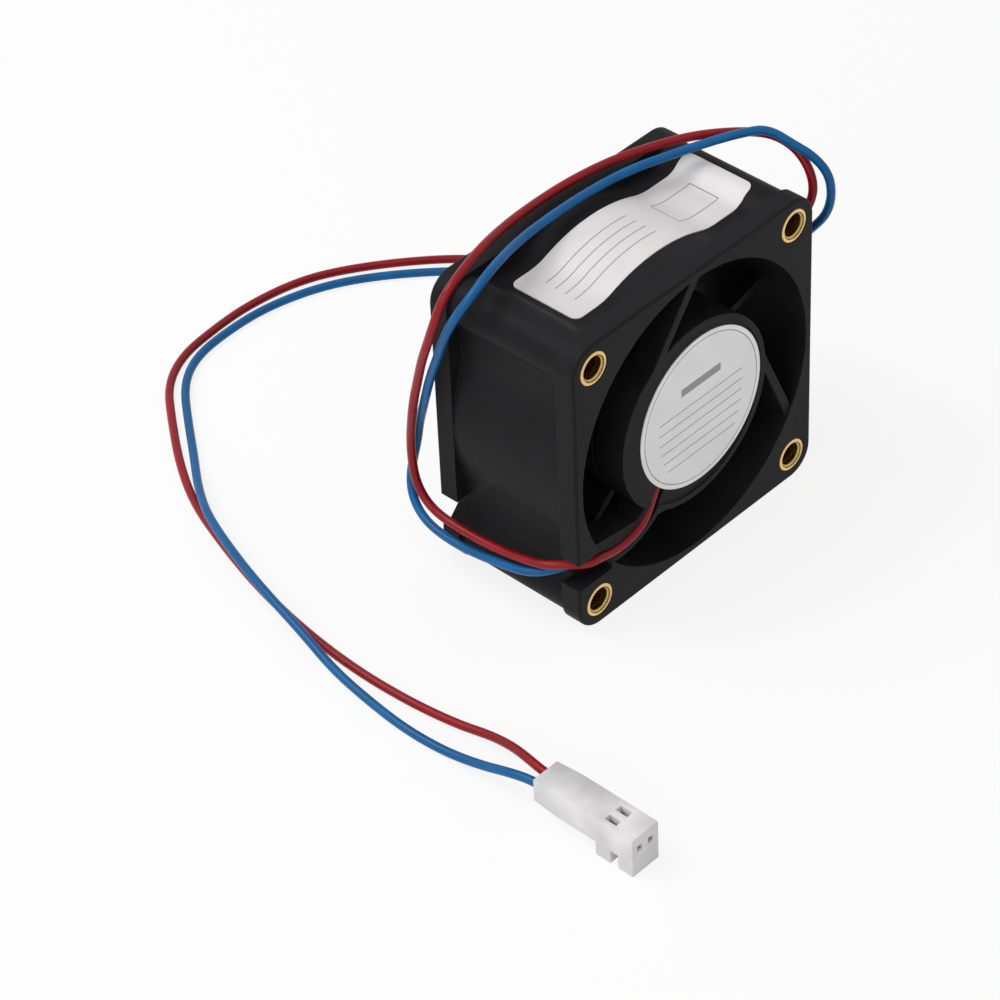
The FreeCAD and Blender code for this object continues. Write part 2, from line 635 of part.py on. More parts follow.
# Bearings
def make_bearing_tube():
    seat = "dims.bearing_radius"
    shoulder = f"({seat} - dims.tube_shoulder)"
    front_seat = f"({FRONT_BEARING} + dims.bearing_width)"
    turned("bearing_tube", [
        (TUBE_OUTSIDE, PLATE_BACK), (TUBE_OUTSIDE, TUBE_BACK), (seat, TUBE_BACK), (seat, REAR_BEARING),
        (shoulder, REAR_BEARING), (shoulder, front_seat), (seat, front_seat), (seat, PLATE_BACK),
    ])


def race(label, outside, inside, start, middle):
    ring = tube(label + "_ring", outside, inside, start, f"({start} + dims.bearing_width)")
    groove = doc.addObject("Part::Torus", label + "_groove")
    groove.Placement = FreeCAD.Placement(V(0, 0, 0), FreeCAD.Rotation(V(1, 0, 0), -90))
    groove.setExpression("Radius1", BALL_CIRCLE)
    groove.setExpression("Radius2", BALL_GROOVE)
    put_at(groove, ("0", middle, AXIS))
    keep(cut(label, ring, groove))


def ball_places(radius, middle):
    """Angle of each ball round the axis, with the place at some radius in its direction"""
    for index in range(BALLS):
        angle = index * 360 / BALLS
        x, z = polar(radius, str(angle))
        yield angle, (x, middle, f"{AXIS} + {z}")


def make_bearing(name, start):
    middle = f"({start} + dims.bearing_width / 2)"
    race(f"{name}_bearing_outer_race", "dims.bearing_radius", OUTER_RACE, start, middle)
    race(f"{name}_bearing_inner_race", INNER_RACE, "dims.shaft_radius", start, middle)
    balls = []
    for _, place in ball_places(BALL_CIRCLE, middle):
        ball = doc.addObject("Part::Sphere", f"{name}_ball")
        ball.setExpression("Radius", "dims.ball_radius")
        put_at(ball, place)
        balls.append(ball)
    keep(group(f"{name}_bearing_balls", balls))

    half = f"({BALL_GROOVE} + dims.cage_edge)"
    ring = tube(
        f"{name}_cage_ring", f"({OUTER_RACE} - dims.cage_gap)", f"({INNER_RACE} + dims.cage_gap)",
        f"({middle} - {half})", f"({middle} + {half})",
    )
    pocket_start = f"({INNER_RACE} - dims.cage_gap)"
    holes = []
    for angle, place in ball_places(pocket_start, middle):
        hole = doc.addObject("Part::Cylinder", f"{name}_cage_pocket")
        hole.Placement = FreeCAD.Placement(V(0, 0, 0), FreeCAD.Rotation(V(0, 1, 0), 90 - angle))
        hole.setExpression("Radius", BALL_GROOVE)
        hole.setExpression("Height", f"{OUTER_RACE} - {pocket_start}")
        put_at(hole, place)
        holes.append(hole)
    keep(cut(f"{name}_bearing_cage", ring, group(f"{name}_cage_pockets", holes)))


# Rotor
def make_impeller():
    body = new_body("impeller")
    revolve(body, "rotor_hub", [
        ("0", ROTOR_FRONT), ("dims.hub_radius", ROTOR_FRONT),
        ("dims.hub_radius", ROTOR_BACK), ("0", ROTOR_BACK),
    ])
    back = size_of(ROTOR_BACK)
    round_edges(
        body, "rotor_hub_edge", "dims.rotor_round",
        lambda edge: abs(edge.CenterOfMass.y - back) < SAME and len(edge.Vertexes) == 1,
    )
    half = "dims.blade_thickness / 2"
    sections = []
    for name, radius in (
        ("root", "(dims.hub_radius - 2 * dims.impeller_wall)"),
        ("tip", f"({BLADE_TIP} + dims.impeller_wall)"),
    ):
        sweep, camber = f"dims.blade_{name}_sweep", f"dims.blade_{name}_camber"
        sketch = sketch_on(body, f"blade_{name}", "YZ_Plane", radius)
        corners = [
            (BLADE_BACK, f"(-{sweep} - {half})"), (BLADE_FRONT, f"({sweep} - {half})"),
            (BLADE_FRONT, f"({sweep} + {half})"), (BLADE_BACK, f"(-{sweep} + {half})"),
        ]
        draw_bowed_strip(sketch, corners, (camber, camber), V(1, 1, 0))
        sections.append(sketch)
    doc.recompute()
    blade = body.newObject("PartDesign::AdditiveLoft", "blade")
    blade.Profile = sections[0]
    blade.Sections = [sections[1]]
    blade.Ruled = True
    pattern(body, "blades", [blade], BLADES)
    far = f"({BLADE_TIP} + 3 * dims.blade_tip_sweep)"
    trims = [
        revolve(body, "blade_tips", [
            (BLADE_TIP, FRONT), (far, FRONT), (far, REAR), (BLADE_TIP, REAR),
        ], "Groove"),
        revolve(body, "rotor_cavity", [
            ("0", FRONT), (CUP_OUTSIDE, FRONT), (CUP_OUTSIDE, CUP_BACK), ("0", CUP_BACK),
        ], "Groove"),
    ]
    for trim in trims:
        # Merging faces after the cut would spoil the lofted blades
        trim.Refine = False


def make_rotor_core():
    cup_floor = f"({CUP_BACK} - dims.cup_wall)"
    turned("rotor_cup", [
        (CUP_OUTSIDE, CUP_FRONT), (CUP_OUTSIDE, CUP_BACK), (SHAFT_BUSH, CUP_BACK),
        (SHAFT_BUSH, cup_floor), (CUP_INSIDE, cup_floor), (CUP_INSIDE, CUP_FRONT),
    ])
    keep(tube("ring_magnet", CUP_INSIDE, MAGNET_INSIDE, MAGNET_FRONT, MAGNET_BACK))
    keep(tube("shaft_bush", SHAFT_BUSH, "dims.shaft_radius", SHAFT_BUSH_FRONT, CUP_BACK))
    turned("shaft", [
        ("0", SHAFT_FRONT), ("dims.shaft_radius", SHAFT_FRONT), ("dims.shaft_radius", CLIP_FRONT),
        (GROOVE, CLIP_FRONT), (GROOVE, CLIP_BACK), ("dims.shaft_radius", CLIP_BACK),
        ("dims.shaft_radius", CUP_BACK), ("0", CUP_BACK),
    ])
    clip_outside = f"({GROOVE} + dims.clip_width)"
    ring = tube("clip_ring", clip_outside, GROOVE, CLIP_FRONT, CLIP_BACK)
    opening = box(
        "clip_opening", ("dims.clip_gap", "dims.clip_thickness", clip_outside),
        ("-dims.clip_gap / 2", CLIP_FRONT, AXIS),
    )
    keep(cut("retaining_clip", ring, opening))
    keep(tube("thrust_washer", "dims.washer_radius", "dims.shaft_radius", CLIP_BACK, FRONT_BEARING))
    inner = "dims.shaft_radius + dims.spring_wall"
    outer = f"({SHAFT_BUSH} - dims.spring_wall)"
    turned("preload_spring", [
        (f"({inner})", TUBE_BACK), (f"({inner} + dims.spring_wall)", TUBE_BACK),
        (outer, SHAFT_BUSH_FRONT), (f"({outer} - dims.spring_wall)", SHAFT_BUSH_FRONT),
    ])


# Stator and electronics
def spoked_ring(body, y_low, y_high, spoke_end):
    sketch, _ = pad(body, body.Label + "_ring", y_low, y_high)
    draw_circle(sketch, ("0", "0"), CORE_RING)
    draw_circle(sketch, ("0", "0"), TUBE_OUTSIDE)
    sketch, neck = pad(body, body.Label + "_neck", y_low, y_high)
    middle = f"(({TUBE_OUTSIDE} + {CORE_RING}) / 2)"
    draw_rectangle(sketch, (middle, "-dims.neck_width / 2"), (spoke_end, "dims.neck_width / 2"))
    pattern(body, body.Label + "_necks", [neck], POLES)


def make_stator():
    body = new_body("stator_core")
    shoe_middle = f"(({SHOE} + {STATOR}) / 2)"
    spoked_ring(body, STACK_FRONT, STACK_BACK, shoe_middle)
    sketch, _ = pad(body, "pole_shoes", STACK_FRONT, STACK_BACK)
    draw_circle(sketch, ("0", "0"), STATOR)
    draw_circle(sketch, ("0", "0"), SHOE)
    sketch, slot = pocket(body, "shoe_slot", STACK_FRONT, STACK_BACK)
    across = "dims.shoe_gap / sqrt(8)"
    start, end = f"({CORE_RING} / sqrt(2))", f"({STATOR} / sqrt(2))"
    draw_polygon(sketch, [
        (f"({start} - {across})", f"({start} + {across})"),
        (f"({start} + {across})", f"({start} - {across})"),
        (f"({end} + {across})", f"({end} - {across})"),
        (f"({end} - {across})", f"({end} + {across})"),
    ])
    pattern(body, "shoe_slots", [slot], POLES)

    for name, low, high in (
        ("stator_insulator_front", INSULATOR_FRONT, STACK_FRONT),
        ("stator_insulator_rear", STACK_BACK, INSULATOR_BACK),
    ):
        spoked_ring(new_body(name), low, high, SHOE)
    for index in range(POLES):
        make_coil(index)


def make_coil(index):
    body = new_body(f"coil_{index + 1}", on_axis=False)
    start = f"({CORE_RING} + dims.coil_gap)"
    end = f"(sqrt({SHOE} * {SHOE} - {COIL_HALF} * {COIL_HALF}) - dims.coil_gap)"
    sketch = sketch_on(body, f"coil_{index + 1}_outline", "YZ_Plane", start)
    low, high = f"({INSULATOR_FRONT} - dims.coil_overhang)", f"({INSULATOR_BACK} + dims.coil_overhang)"
    draw_rectangle(sketch, (low, f"-{COIL_HALF}"), (high, COIL_HALF))
    neck = "dims.neck_width / 2"
    draw_rectangle(sketch, (INSULATOR_FRONT, f"-{neck}"), (INSULATOR_BACK, neck))
    winding = body.newObject("PartDesign::Pad", f"coil_{index + 1}_winding")
    winding.Profile = sketch
    winding.setExpression("Length", f"{end} - {start}")
    half = size_of(COIL_HALF)

    def outer_corner(edge):
        return abs(edge.tangentAt(0).x) > SAME and abs(abs(edge.CenterOfMass.z) - half) < SAME
    round_edges(body, f"coil_{index + 1}_corners", "dims.coil_round", outer_corner)
    turn = FreeCAD.Rotation(V(0, 1, 0), index * 360 / POLES)
    body.Placement = FreeCAD.Placement(V(0, 0, size_of(AXIS)), turn)


def chip(label, kind, place, y_low):
    """Block of one kind's length, height and width, centred on a place of the circuit board"""
    length, height, width = [f"dims.{kind}_{side}" for side in ("length", "height", "width")]
    corner = (f"{place[0]} - {length} / 2", y_low, f"{AXIS} + {place[1]} - {width} / 2")
    return box(label, (length, height, width), corner)


def make_electronics():
    outside = f"({SKIRT_INSIDE} - dims.board_clearance)"
    inside = f"({TUBE_OUTSIDE} + dims.board_clearance)"
    keep(tube("circuit_board", outside, inside, BOARD_FRONT, BOARD_BACK))
    middle = f"(({outside} + {inside}) / 2)"
    keep(chip("driver_chip", "chip", ("0", middle), f"{BOARD_FRONT} - dims.chip_height"))
    over_magnet = f"(({CUP_INSIDE} + {MAGNET_INSIDE}) / 2)"
    keep(chip("position_sensor", "sensor", polar(over_magnet, f"(180 / {POLES})"), BOARD_BACK))
    capacitor_front = f"({BOARD_FRONT} - dims.capacitor_height)"
    keep(cylinder("capacitor", "dims.capacitor_radius", capacitor_front, BOARD_FRONT, middle, AXIS))
    resistors = []
    for index in range(RESISTORS):
        place = polar(middle, f"({index} * {RESISTOR_STEP} + {RESISTOR_START})")
        resistor_front = f"{BOARD_FRONT} - dims.resistor_height"
        resistors.append(chip(f"resistor_{index + 1}", "resistor", place, resistor_front))
    keep(group("resistors", resistors))


# The held leads: shares of the hub slot's length and of the rise from the board, then shares of the
# trough's bow, then shares in X, Y and Z of the way out of the front notch
RED_SLOT = ((0.057, 0), (0.189, 0.182), (0.34, 0.655), (0.528, 0.836), (0.83, 1))
BLUE_SLOT = ((0.434, 0), (0.585, 0.19), (0.849, 1))
TROUGH_SHARES = (0.22, 0.5, 0.78, 1.0)
NOTCH_SHARES = ((0.4, 0.08, 0.3), (0.74, 0.42, 0.7), (1, 1, 1))
# The free leads: along the left side, up behind the rear flange, over the top, down the right side
# and round on the floor
RED_ROUTE = [
    V(-31.0, -8.9, 12.9), V(-31.2, -6.3, 12.1), V(-31.1, -3.0, 11.2), V(-31.0, 1.3, 10.3),
    V(-31.0, 5.9, 9.9), V(-31.0, 10.6, 9.8), V(-31.0, 15.3, 10.1), V(-31.0, 18.4, 11.5),
    V(-31.0, 20.5, 14.3), V(-31.0, 21.3, 18.2), V(-31.1, 21.3, 23.6), V(-31.9, 19.9, 29.4),
    V(-32.5, 18.4, 35.1), V(-33.0, 16.6, 40.5), V(-34.0, 14.3, 46.5), V(-34.6, 12.2, 51.2),
    V(-34.7, 10.4, 56.2), V(-33.6, 9.3, 60.9), V(-30.4, 9.2, 63.5), V(-22.3, 11.4, 64.0),
    V(-13.4, 13.8, 62.8), V(-3.7, 15.0, 61.9), V(4.8, 14.7, 61.8), V(13.2, 13.3, 61.7),
    V(20.1, 10.3, 62.1), V(25.5, 6.4, 63.0), V(31.6, 2.6, 62.2), V(36.0, -1.2, 61.3),
    V(37.5, -5.2, 59.7), V(37.6, -8.4, 57.1), V(37.0, -10.4, 53.6), V(36.5, -9.6, 49.2),
    V(36.5, -6.5, 44.9), V(37.0, -0.9, 37.9), V(37.4, 6.8, 29.9), V(37.8, 15.8, 21.4),
    V(38.3, 26.3, 13.2), V(39.1, 37.7, 6.7), V(39.4, 48.6, 2.5), V(38.1, 59.7, 0.9),
    V(34.7, 68.3, 0.9), V(27.5, 76.1, 0.9), V(17.9, 83.9, 0.9), V(8.4, 89.3, 0.9),
    V(-3.6, 91.4, 0.9), V(-13.3, 91.0, 0.9), V(-22.2, 89.8, 0.9), V(-29.8, 85.6, 0.9),
    V(-35.9, 78.2, 0.9), V(-43.5, 68.2, 0.9), V(-49.6, 58.0, 0.9), V(-54.3, 44.7, 0.9),
    V(-57.9, 32.2, 0.9), V(-60.4, 18.3, 0.9), V(-61.4, 5.5, 0.9), V(-61.0, -6.3, 0.9),
    V(-59.7, -15.7, 0.9), V(-59.0, -22.5, 2.2), V(-59.8, -28.2, 3.9), V(-61.1, -33.0, 5.1),
]
BLUE_ROUTE = [
    V(-31.3, -7.0, 10.3), V(-31.9, -4.5, 9.6), V(-32.0, -1.8, 9.0), V(-32.0, 1.4, 8.3),
    V(-32.0, 5.4, 7.5), V(-32.0, 9.8, 7.0), V(-31.9, 14.0, 7.0), V(-31.6, 17.6, 7.4),
    V(-30.9, 20.7, 8.4), V(-30.1, 22.8, 10.3), V(-29.4, 23.7, 13.2), V(-29.0, 23.1, 17.4),
    V(-29.0, 21.8, 22.2), V(-29.5, 20.4, 27.6), V(-31.0, 17.3, 34.6), V(-32.1, 14.6, 41.5),
    V(-33.0, 11.5, 48.2), V(-33.6, 8.9, 54.2), V(-33.2, 6.4, 59.4), V(-31.0, 4.9, 62.8),
    V(-25.4, 5.9, 64.4), V(-15.4, 9.2, 62.8), V(-6.1, 10.2, 62.2), V(3.3, 10.5, 61.7),
    V(11.9, 9.4, 61.8), V(19.2, 6.7, 62.1), V(25.4, 3.1, 63.2), V(30.1, -0.3, 64.1),
    V(33.8, -2.7, 64.0), V(36.0, -6.6, 61.3), V(37.5, -9.7, 59.5), V(38.4, -12.3, 56.6),
    V(38.8, -12.8, 52.3), V(38.7, -11.9, 47.8), V(38.0, -9.3, 43.9), V(37.3, -4.2, 37.7),
    V(36.6, 2.4, 30.7), V(36.1, 10.6, 23.0), V(35.8, 20.2, 15.3), V(36.2, 31.2, 8.4),
    V(36.8, 42.4, 3.3), V(36.7, 53.5, 0.9), V(33.2, 64.0, 0.9), V(26.7, 71.6, 0.9),
    V(18.0, 79.5, 0.9), V(9.1, 85.1, 0.9), V(-2.0, 88.4, 0.9), V(-12.2, 88.7, 0.9),
    V(-20.8, 87.6, 0.9), V(-27.8, 83.5, 0.9), V(-34.6, 75.2, 0.9), V(-39.9, 68.3, 0.9),
    V(-47.4, 59.0, 2.2), V(-52.9, 50.4, 4.0), V(-57.3, 38.7, 4.4), V(-60.1, 29.7, 4.6),
    V(-62.1, 18.5, 3.0), V(-64.1, 9.1, 1.4), V(-65.3, -0.3, 0.9), V(-66.2, -9.8, 0.9),
    V(-65.8, -18.2, 0.9), V(-65.2, -25.6, 2.1), V(-65.0, -32.3, 4.5),
]


# Leads: straight runs joined by tangent arcs, each arc as large as its runs allow
def rounded_route(points):
    edges = []
    radii = []
    start = points[0]
    for before, corner, after in zip(points, points[1:], points[2:]):
        arriving, leaving = corner - before, after - corner
        turn = arriving.getAngle(leaving)
        reach = 0.45 * min(arriving.Length, leaving.Length)
        radius = reach / math.tan(turn / 2)
        first = corner - V(arriving).normalize() * reach
        last = corner + V(leaving).normalize() * reach
        inward = (V(leaving).normalize() - V(arriving).normalize()).normalize()
        middle = corner + inward * (radius / math.cos(turn / 2) - radius)
        edges += [Part.LineSegment(start, first).toShape(), Part.Arc(first, middle, last).toShape()]
        radii.append(radius)
        start = last
    edges.append(Part.LineSegment(start, points[-1]).toShape())
    return Part.Wire(edges), radii


def make_lead(label, points):
    path, radii = rounded_route(points)
    radius = size_of("dims.lead_radius")
    heading = points[1] - points[0]
    section = Part.Face(Part.Wire(Part.makeCircle(radius, points[0], heading)))
    lead = doc.addObject("Part::Feature", label)
    lead.Shape = path.makePipe(section)
    share = lead.Shape.Volume / (math.pi * radius ** 2 * path.Length)
    print(f"{label}: length {path.Length:.1f}, volume {share:.4f} of section times length")
    print("  radii", " ".join(f"{value:.1f}" for value in radii))
    keep(lead)


def trough_points(height, shares):
    """Points on the middle line of the lead strut's trough at some shares of its bow"""
    centre = place_of(polar(BOW_CENTRE, "dims.bow_angle"))
    ends = [place_of(polar(STRUT_ROOT, HUB_ANGLE)) - centre, place_of(polar(STRUT_TIP, RIM_ANGLE)) - centre]
    first, last = [math.atan2(end.y, end.x) for end in ends]
    bow = size_of("dims.strut_bow")
    points = []
    for share in shares:
        angle = first + (last - first) * share
        place = centre + V(math.cos(angle), math.sin(angle), 0) * bow
        points.append(V(place.x, height, size_of(AXIS) + place.y))
    return points


def slot_points(board, height, places):
    """Points in the hub's lead slot, from the circuit board up to a height in the trough"""
    points = []
    for along, up in places:
        radius = f"(dims.hub_slot_start + ({STRUT_ROOT} - dims.hub_slot_start) * {along})"
        place = place_of(polar(radius, HUB_ANGLE))
        points.append(V(place.x, board + (height - board) * up, size_of(AXIS) + place.y))
    return points


def exit_points(end, turn, drop):
    """Points from the trough's end through the front notch to where a lead leaves"""
    way = size_of(f"dims.exit_inset - {HALF_SIDE}") - end.x
    return [V(end.x + way * x, end.y + turn * y, end.z - drop * z) for x, y, z in NOTCH_SHARES]


def make_leads():
    lead = size_of("dims.lead_radius")
    gap = size_of("dims.lead_gap")
    on_board = size_of(BOARD_FRONT) - lead - gap / 2
    deep = size_of(TROUGH_FLOOR) - lead - gap
    high = deep - 2 * lead - gap
    turn = size_of("dims.exit_turn")
    trough = trough_points(high, TROUGH_SHARES)
    red_way = exit_points(trough[-1], turn, size_of("dims.red_drop"))
    make_lead("red_lead_held", slot_points(on_board, high, RED_SLOT) + trough + red_way)
    trough = trough_points(deep, TROUGH_SHARES)
    blue_way = exit_points(trough[-1], turn, size_of("dims.blue_drop"))
    make_lead("blue_lead_held", slot_points(on_board, deep, BLUE_SLOT) + trough + blue_way)
    middle = size_of("dims.plug_foot + dims.plug_height / 2")
    entry = size_of("dims.plug_wire_end - dims.contact_depth")
    for label, route, way, side in (
        ("red_lead", RED_ROUTE, red_way, 1), ("blue_lead", BLUE_ROUTE, blue_way, -1),
    ):
        leave = way[-1]
        heading = (leave - way[-2]).normalize()
        plug = size_of("dims.plug_x") + side * size_of("dims.plug_pitch / 2")
        plug_run = [V(plug, entry + 3.0, middle), V(plug, entry, middle)]
        make_lead(label, [leave, leave + heading * size_of("dims.exit_run")] + route + plug_run)


# Connector: housing with two contact cavities and two locking feet, and a contact on each lead
def make_connector():
    body = new_body("connector_housing", on_axis=False)
    body.setExpression("Placement.Base.x", "dims.plug_x")
    wire_end = "dims.plug_wire_end"
    mating_end = "(dims.plug_wire_end - dims.plug_length)"
    top = "(dims.plug_foot + dims.plug_height)"
    half = "(dims.plug_width / 2)"
    sketch, _ = pad(body, "shell", mating_end, wire_end)
    draw_rectangle(sketch, (f"-{half}", "dims.plug_foot"), (half, top))
    crown, sides = size_of(top), size_of(half)
    round_edges(
        body, "shell_edges", "dims.plug_round",
        lambda edge: along_axis(edge, [(sides, crown), (-sides, crown)]),
    )
    feet_start = mating_end
    for name in ("mating_foot", "locking_foot"):
        sketch, _ = pad(body, name, feet_start, f"({feet_start} + dims.foot_length)")
        draw_rectangle(sketch, (f"-{half}", "0"), (half, "(dims.plug_foot + dims.plug_round)"))
        feet_start = f"({feet_start} + dims.foot_length + dims.foot_gap)"
    middle = "(dims.plug_foot + dims.plug_height / 2)"
    for side, sign in (("right", ""), ("left", "-")):
        centre = f"({sign}dims.plug_pitch / 2)"
        sketch, _ = pocket(body, f"{side}_cavity", f"({mating_end} + dims.cavity_end)", wire_end)
        square(sketch, centre, middle, "dims.cavity_width")
        sketch, _ = pocket(body, f"{side}_mouth", mating_end, f"({mating_end} + 2 * dims.cavity_end)")
        square(sketch, centre, middle, "dims.contact_mouth")
        sketch = sketch_on(body, f"{side}_window_outline", "XY_Plane", top)
        start = f"({mating_end} + dims.window_inset)"
        draw_rectangle(
            sketch, (f"({centre} - dims.window_width / 2)", start),
            (f"({centre} + dims.window_width / 2)", f"({start} + dims.window_length)"),
        )
        window = body.newObject("PartDesign::Pocket", f"{side}_window")
        window.Profile = sketch
        window.setExpression("Length", "dims.plug_height / 2")
    for name, sign in (("positive_contact", ""), ("negative_contact", "-")):
        make_contact(name, sign, mating_end, middle)


def square(sketch, x, z, side):
    low = (f"({x} - {side} / 2)", f"({z} - {side} / 2)")
    high = (f"({x} + {side} / 2)", f"({z} + {side} / 2)")
    draw_rectangle(sketch, low, high)


def make_contact(label, sign, mating_end, middle):
    """Crimp contact: a round barrel that meets the lead and a square box for the mating pin"""
    body = new_body(label, on_axis=False)
    body.setExpression("Placement.Base.x", f"dims.plug_x {sign or '+'} dims.plug_pitch / 2")
    body.setExpression("Placement.Base.z", middle)
    start = "(dims.plug_wire_end - dims.contact_depth)"
    shoulder = f"({start} - dims.crimp_length)"
    end = f"({mating_end} + dims.cavity_end + dims.contact_clearance)"
    outside = "(dims.cavity_width - 2 * dims.contact_clearance)"
    sketch, _ = pad(body, label + "_barrel", shoulder, start)
    draw_circle(sketch, ("0", "0"), "dims.lead_radius")
    sketch, _ = pad(body, label + "_box", end, shoulder)
    square(sketch, "0", "0", outside)
    sketch, _ = pocket(body, label + "_socket", end, f"(({end} + {shoulder}) / 2)")
    square(sketch, "0", "0", "dims.contact_mouth")


def write_parts():
    doc.recompute()
    failed = [item.Label for item in doc.Objects if {"Invalid", "Error"} & set(item.State)]
    failed += [item.Label for item in sub_parts if item.Shape.isNull() or not item.Shape.isValid()]
    failed += [item.Label for item in sub_parts if not item.Shape.isNull() and not item.Shape.Solids]
    if failed:
        raise RuntimeError("failed: " + ", ".join(failed))
    os.makedirs("parts", exist_ok=True)
    for item in sub_parts:
        item.Shape.exportStep(f"parts/{item.Label}.step")


make_labels(make_housing())
make_mounting_bushes()
make_bearing_tube()
make_bearing("front", FRONT_BEARING)
make_bearing("rear", REAR_BEARING)
make_impeller()
make_rotor_core()
make_stator()
make_electronics()
make_leads()
make_connector()
write_parts()
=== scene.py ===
"""Looks of the axial cooling fan, built around its packed model."""
import json
import math

import bmesh
import bpy
from mathutils import Matrix, Vector


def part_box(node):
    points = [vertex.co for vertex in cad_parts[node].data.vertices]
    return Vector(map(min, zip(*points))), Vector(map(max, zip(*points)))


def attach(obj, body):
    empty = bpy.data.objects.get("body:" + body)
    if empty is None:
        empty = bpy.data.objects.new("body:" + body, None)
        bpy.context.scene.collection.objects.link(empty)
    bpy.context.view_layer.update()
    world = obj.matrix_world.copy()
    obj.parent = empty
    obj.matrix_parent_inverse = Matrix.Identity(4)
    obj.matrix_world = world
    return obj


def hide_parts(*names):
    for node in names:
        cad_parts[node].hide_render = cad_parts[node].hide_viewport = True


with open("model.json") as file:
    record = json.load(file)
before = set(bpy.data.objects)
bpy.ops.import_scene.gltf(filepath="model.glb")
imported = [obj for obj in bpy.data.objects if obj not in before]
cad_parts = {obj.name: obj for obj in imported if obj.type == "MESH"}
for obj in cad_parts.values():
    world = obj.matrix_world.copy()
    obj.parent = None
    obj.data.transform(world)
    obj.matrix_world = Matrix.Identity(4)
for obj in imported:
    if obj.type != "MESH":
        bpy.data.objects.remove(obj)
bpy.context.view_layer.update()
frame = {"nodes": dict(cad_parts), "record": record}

bl_info = {
    "name": "Axial fan finish",
    "version": (1, 0, 0),
    "blender": (4, 5, 0),
    "location": "3D View > Sidebar > Fan",
    "description": "Finishes, leads, bushes, connector and a plain stage for the packed axial fan",
    "category": "Object",
}

MM = 0.001
SLOT_OF = {row["node"]: row["material_slot"] for row in frame["record"]["subparts"]}
HOUSING_LOW, HOUSING_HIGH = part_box("housing")
AXIS_HEIGHT = (HOUSING_LOW.z + HOUSING_HIGH.z) / 2
BUSH_NODES = sorted(node for node, slot in SLOT_OF.items() if slot == "bush_brass")
BUSH_LOW, BUSH_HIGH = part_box(BUSH_NODES[0])
BUSH_OFFSET = abs(BUSH_LOW.x + BUSH_HIGH.x) / 2
LABEL_LOW, LABEL_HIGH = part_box("hub_label")
SIDE_LOW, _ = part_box("side_label")
SHELL_LOW, SHELL_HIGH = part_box("connector_housing")
CONTACT_NODES = ("positive_contact", "negative_contact")

# Print on the labels: heights are above the hub label's middle or behind the side label's front edge
HUB_HEADING_HEIGHT = 6.0 * MM
HUB_HEADING_THICKNESS = 1.6 * MM
HUB_HEADING_REACH = 5.0 * MM
HUB_ROWS = range(-4, 2)
HUB_ROW_SHARE = 0.7  # of the label's half width at a row's height
SIDE_ROWS = range(4)
SIDE_FIRST_ROW = 4.0 * MM
SIDE_ROW_MIDDLE = 14.0 * MM  # from the label's left end
SIDE_ROW_REACH = 10.0 * MM
SIDE_PANEL = ((4.0 * MM, 16.0 * MM), (10.6 * MM, 26.0 * MM))  # height and place beside the rows

# Stage, in metres
FLOOR_SIZE = 6.0
FLOOR_DROP = 0.02 * MM
KEY_PLACE = Vector((-0.28, 0.30, 0.62))
KEY_SIZE = 0.45
FILL_PLACE = Vector((-0.72, -0.16, 0.38))
FILL_SIZE = 0.50
SENSOR_WIDTH = 36.0  # millimetres, as cameras give it

# Picking faces and edges
FACING = 0.9  # least part of a normal along the direction asked for
ON_PLACE = 0.01 * MM
ON_CIRCLE = 0.05 * MM

# Shading and bevels start at edges sharper than these
BUSH_SMOOTH_ANGLE = math.radians(30)
SHELL_SMOOTH_ANGLE = math.radians(35)
SHELL_BEVEL_ANGLE = math.radians(40)

# Routes of the leads, in metres; the held red lead lies over the blue one, proud of the trough
RED_HELD = [
    (-0.00460, -0.01165, 0.02395),
    (-0.00545, -0.01215, 0.02283),
    (-0.00642, -0.01345, 0.02156),
    (-0.00763, -0.01395, 0.01997),
    (-0.00956, -0.01445, 0.01743),
    (-0.01326, -0.01550, 0.01417),
    (-0.01708, -0.01550, 0.01287),
    (-0.02112, -0.01550, 0.01284),
    (-0.02417, -0.01550, 0.01371),
    (-0.02622, -0.01510, 0.01362),
    (-0.02797, -0.01370, 0.01350),
    (-0.02930, -0.01180, 0.01341),
]
BLUE_HELD = [
    (-0.00702, -0.01165, 0.02077),
    (-0.00799, -0.01185, 0.01949),
    (-0.00969, -0.01270, 0.01727),
    (-0.01326, -0.01270, 0.01417),
    (-0.01708, -0.01270, 0.01287),
    (-0.02112, -0.01270, 0.01284),
    (-0.02417, -0.01270, 0.01371),
    (-0.02622, -0.01249, 0.01305),
    (-0.02797, -0.01161, 0.01217),
    (-0.02930, -0.01010, 0.01151),
]
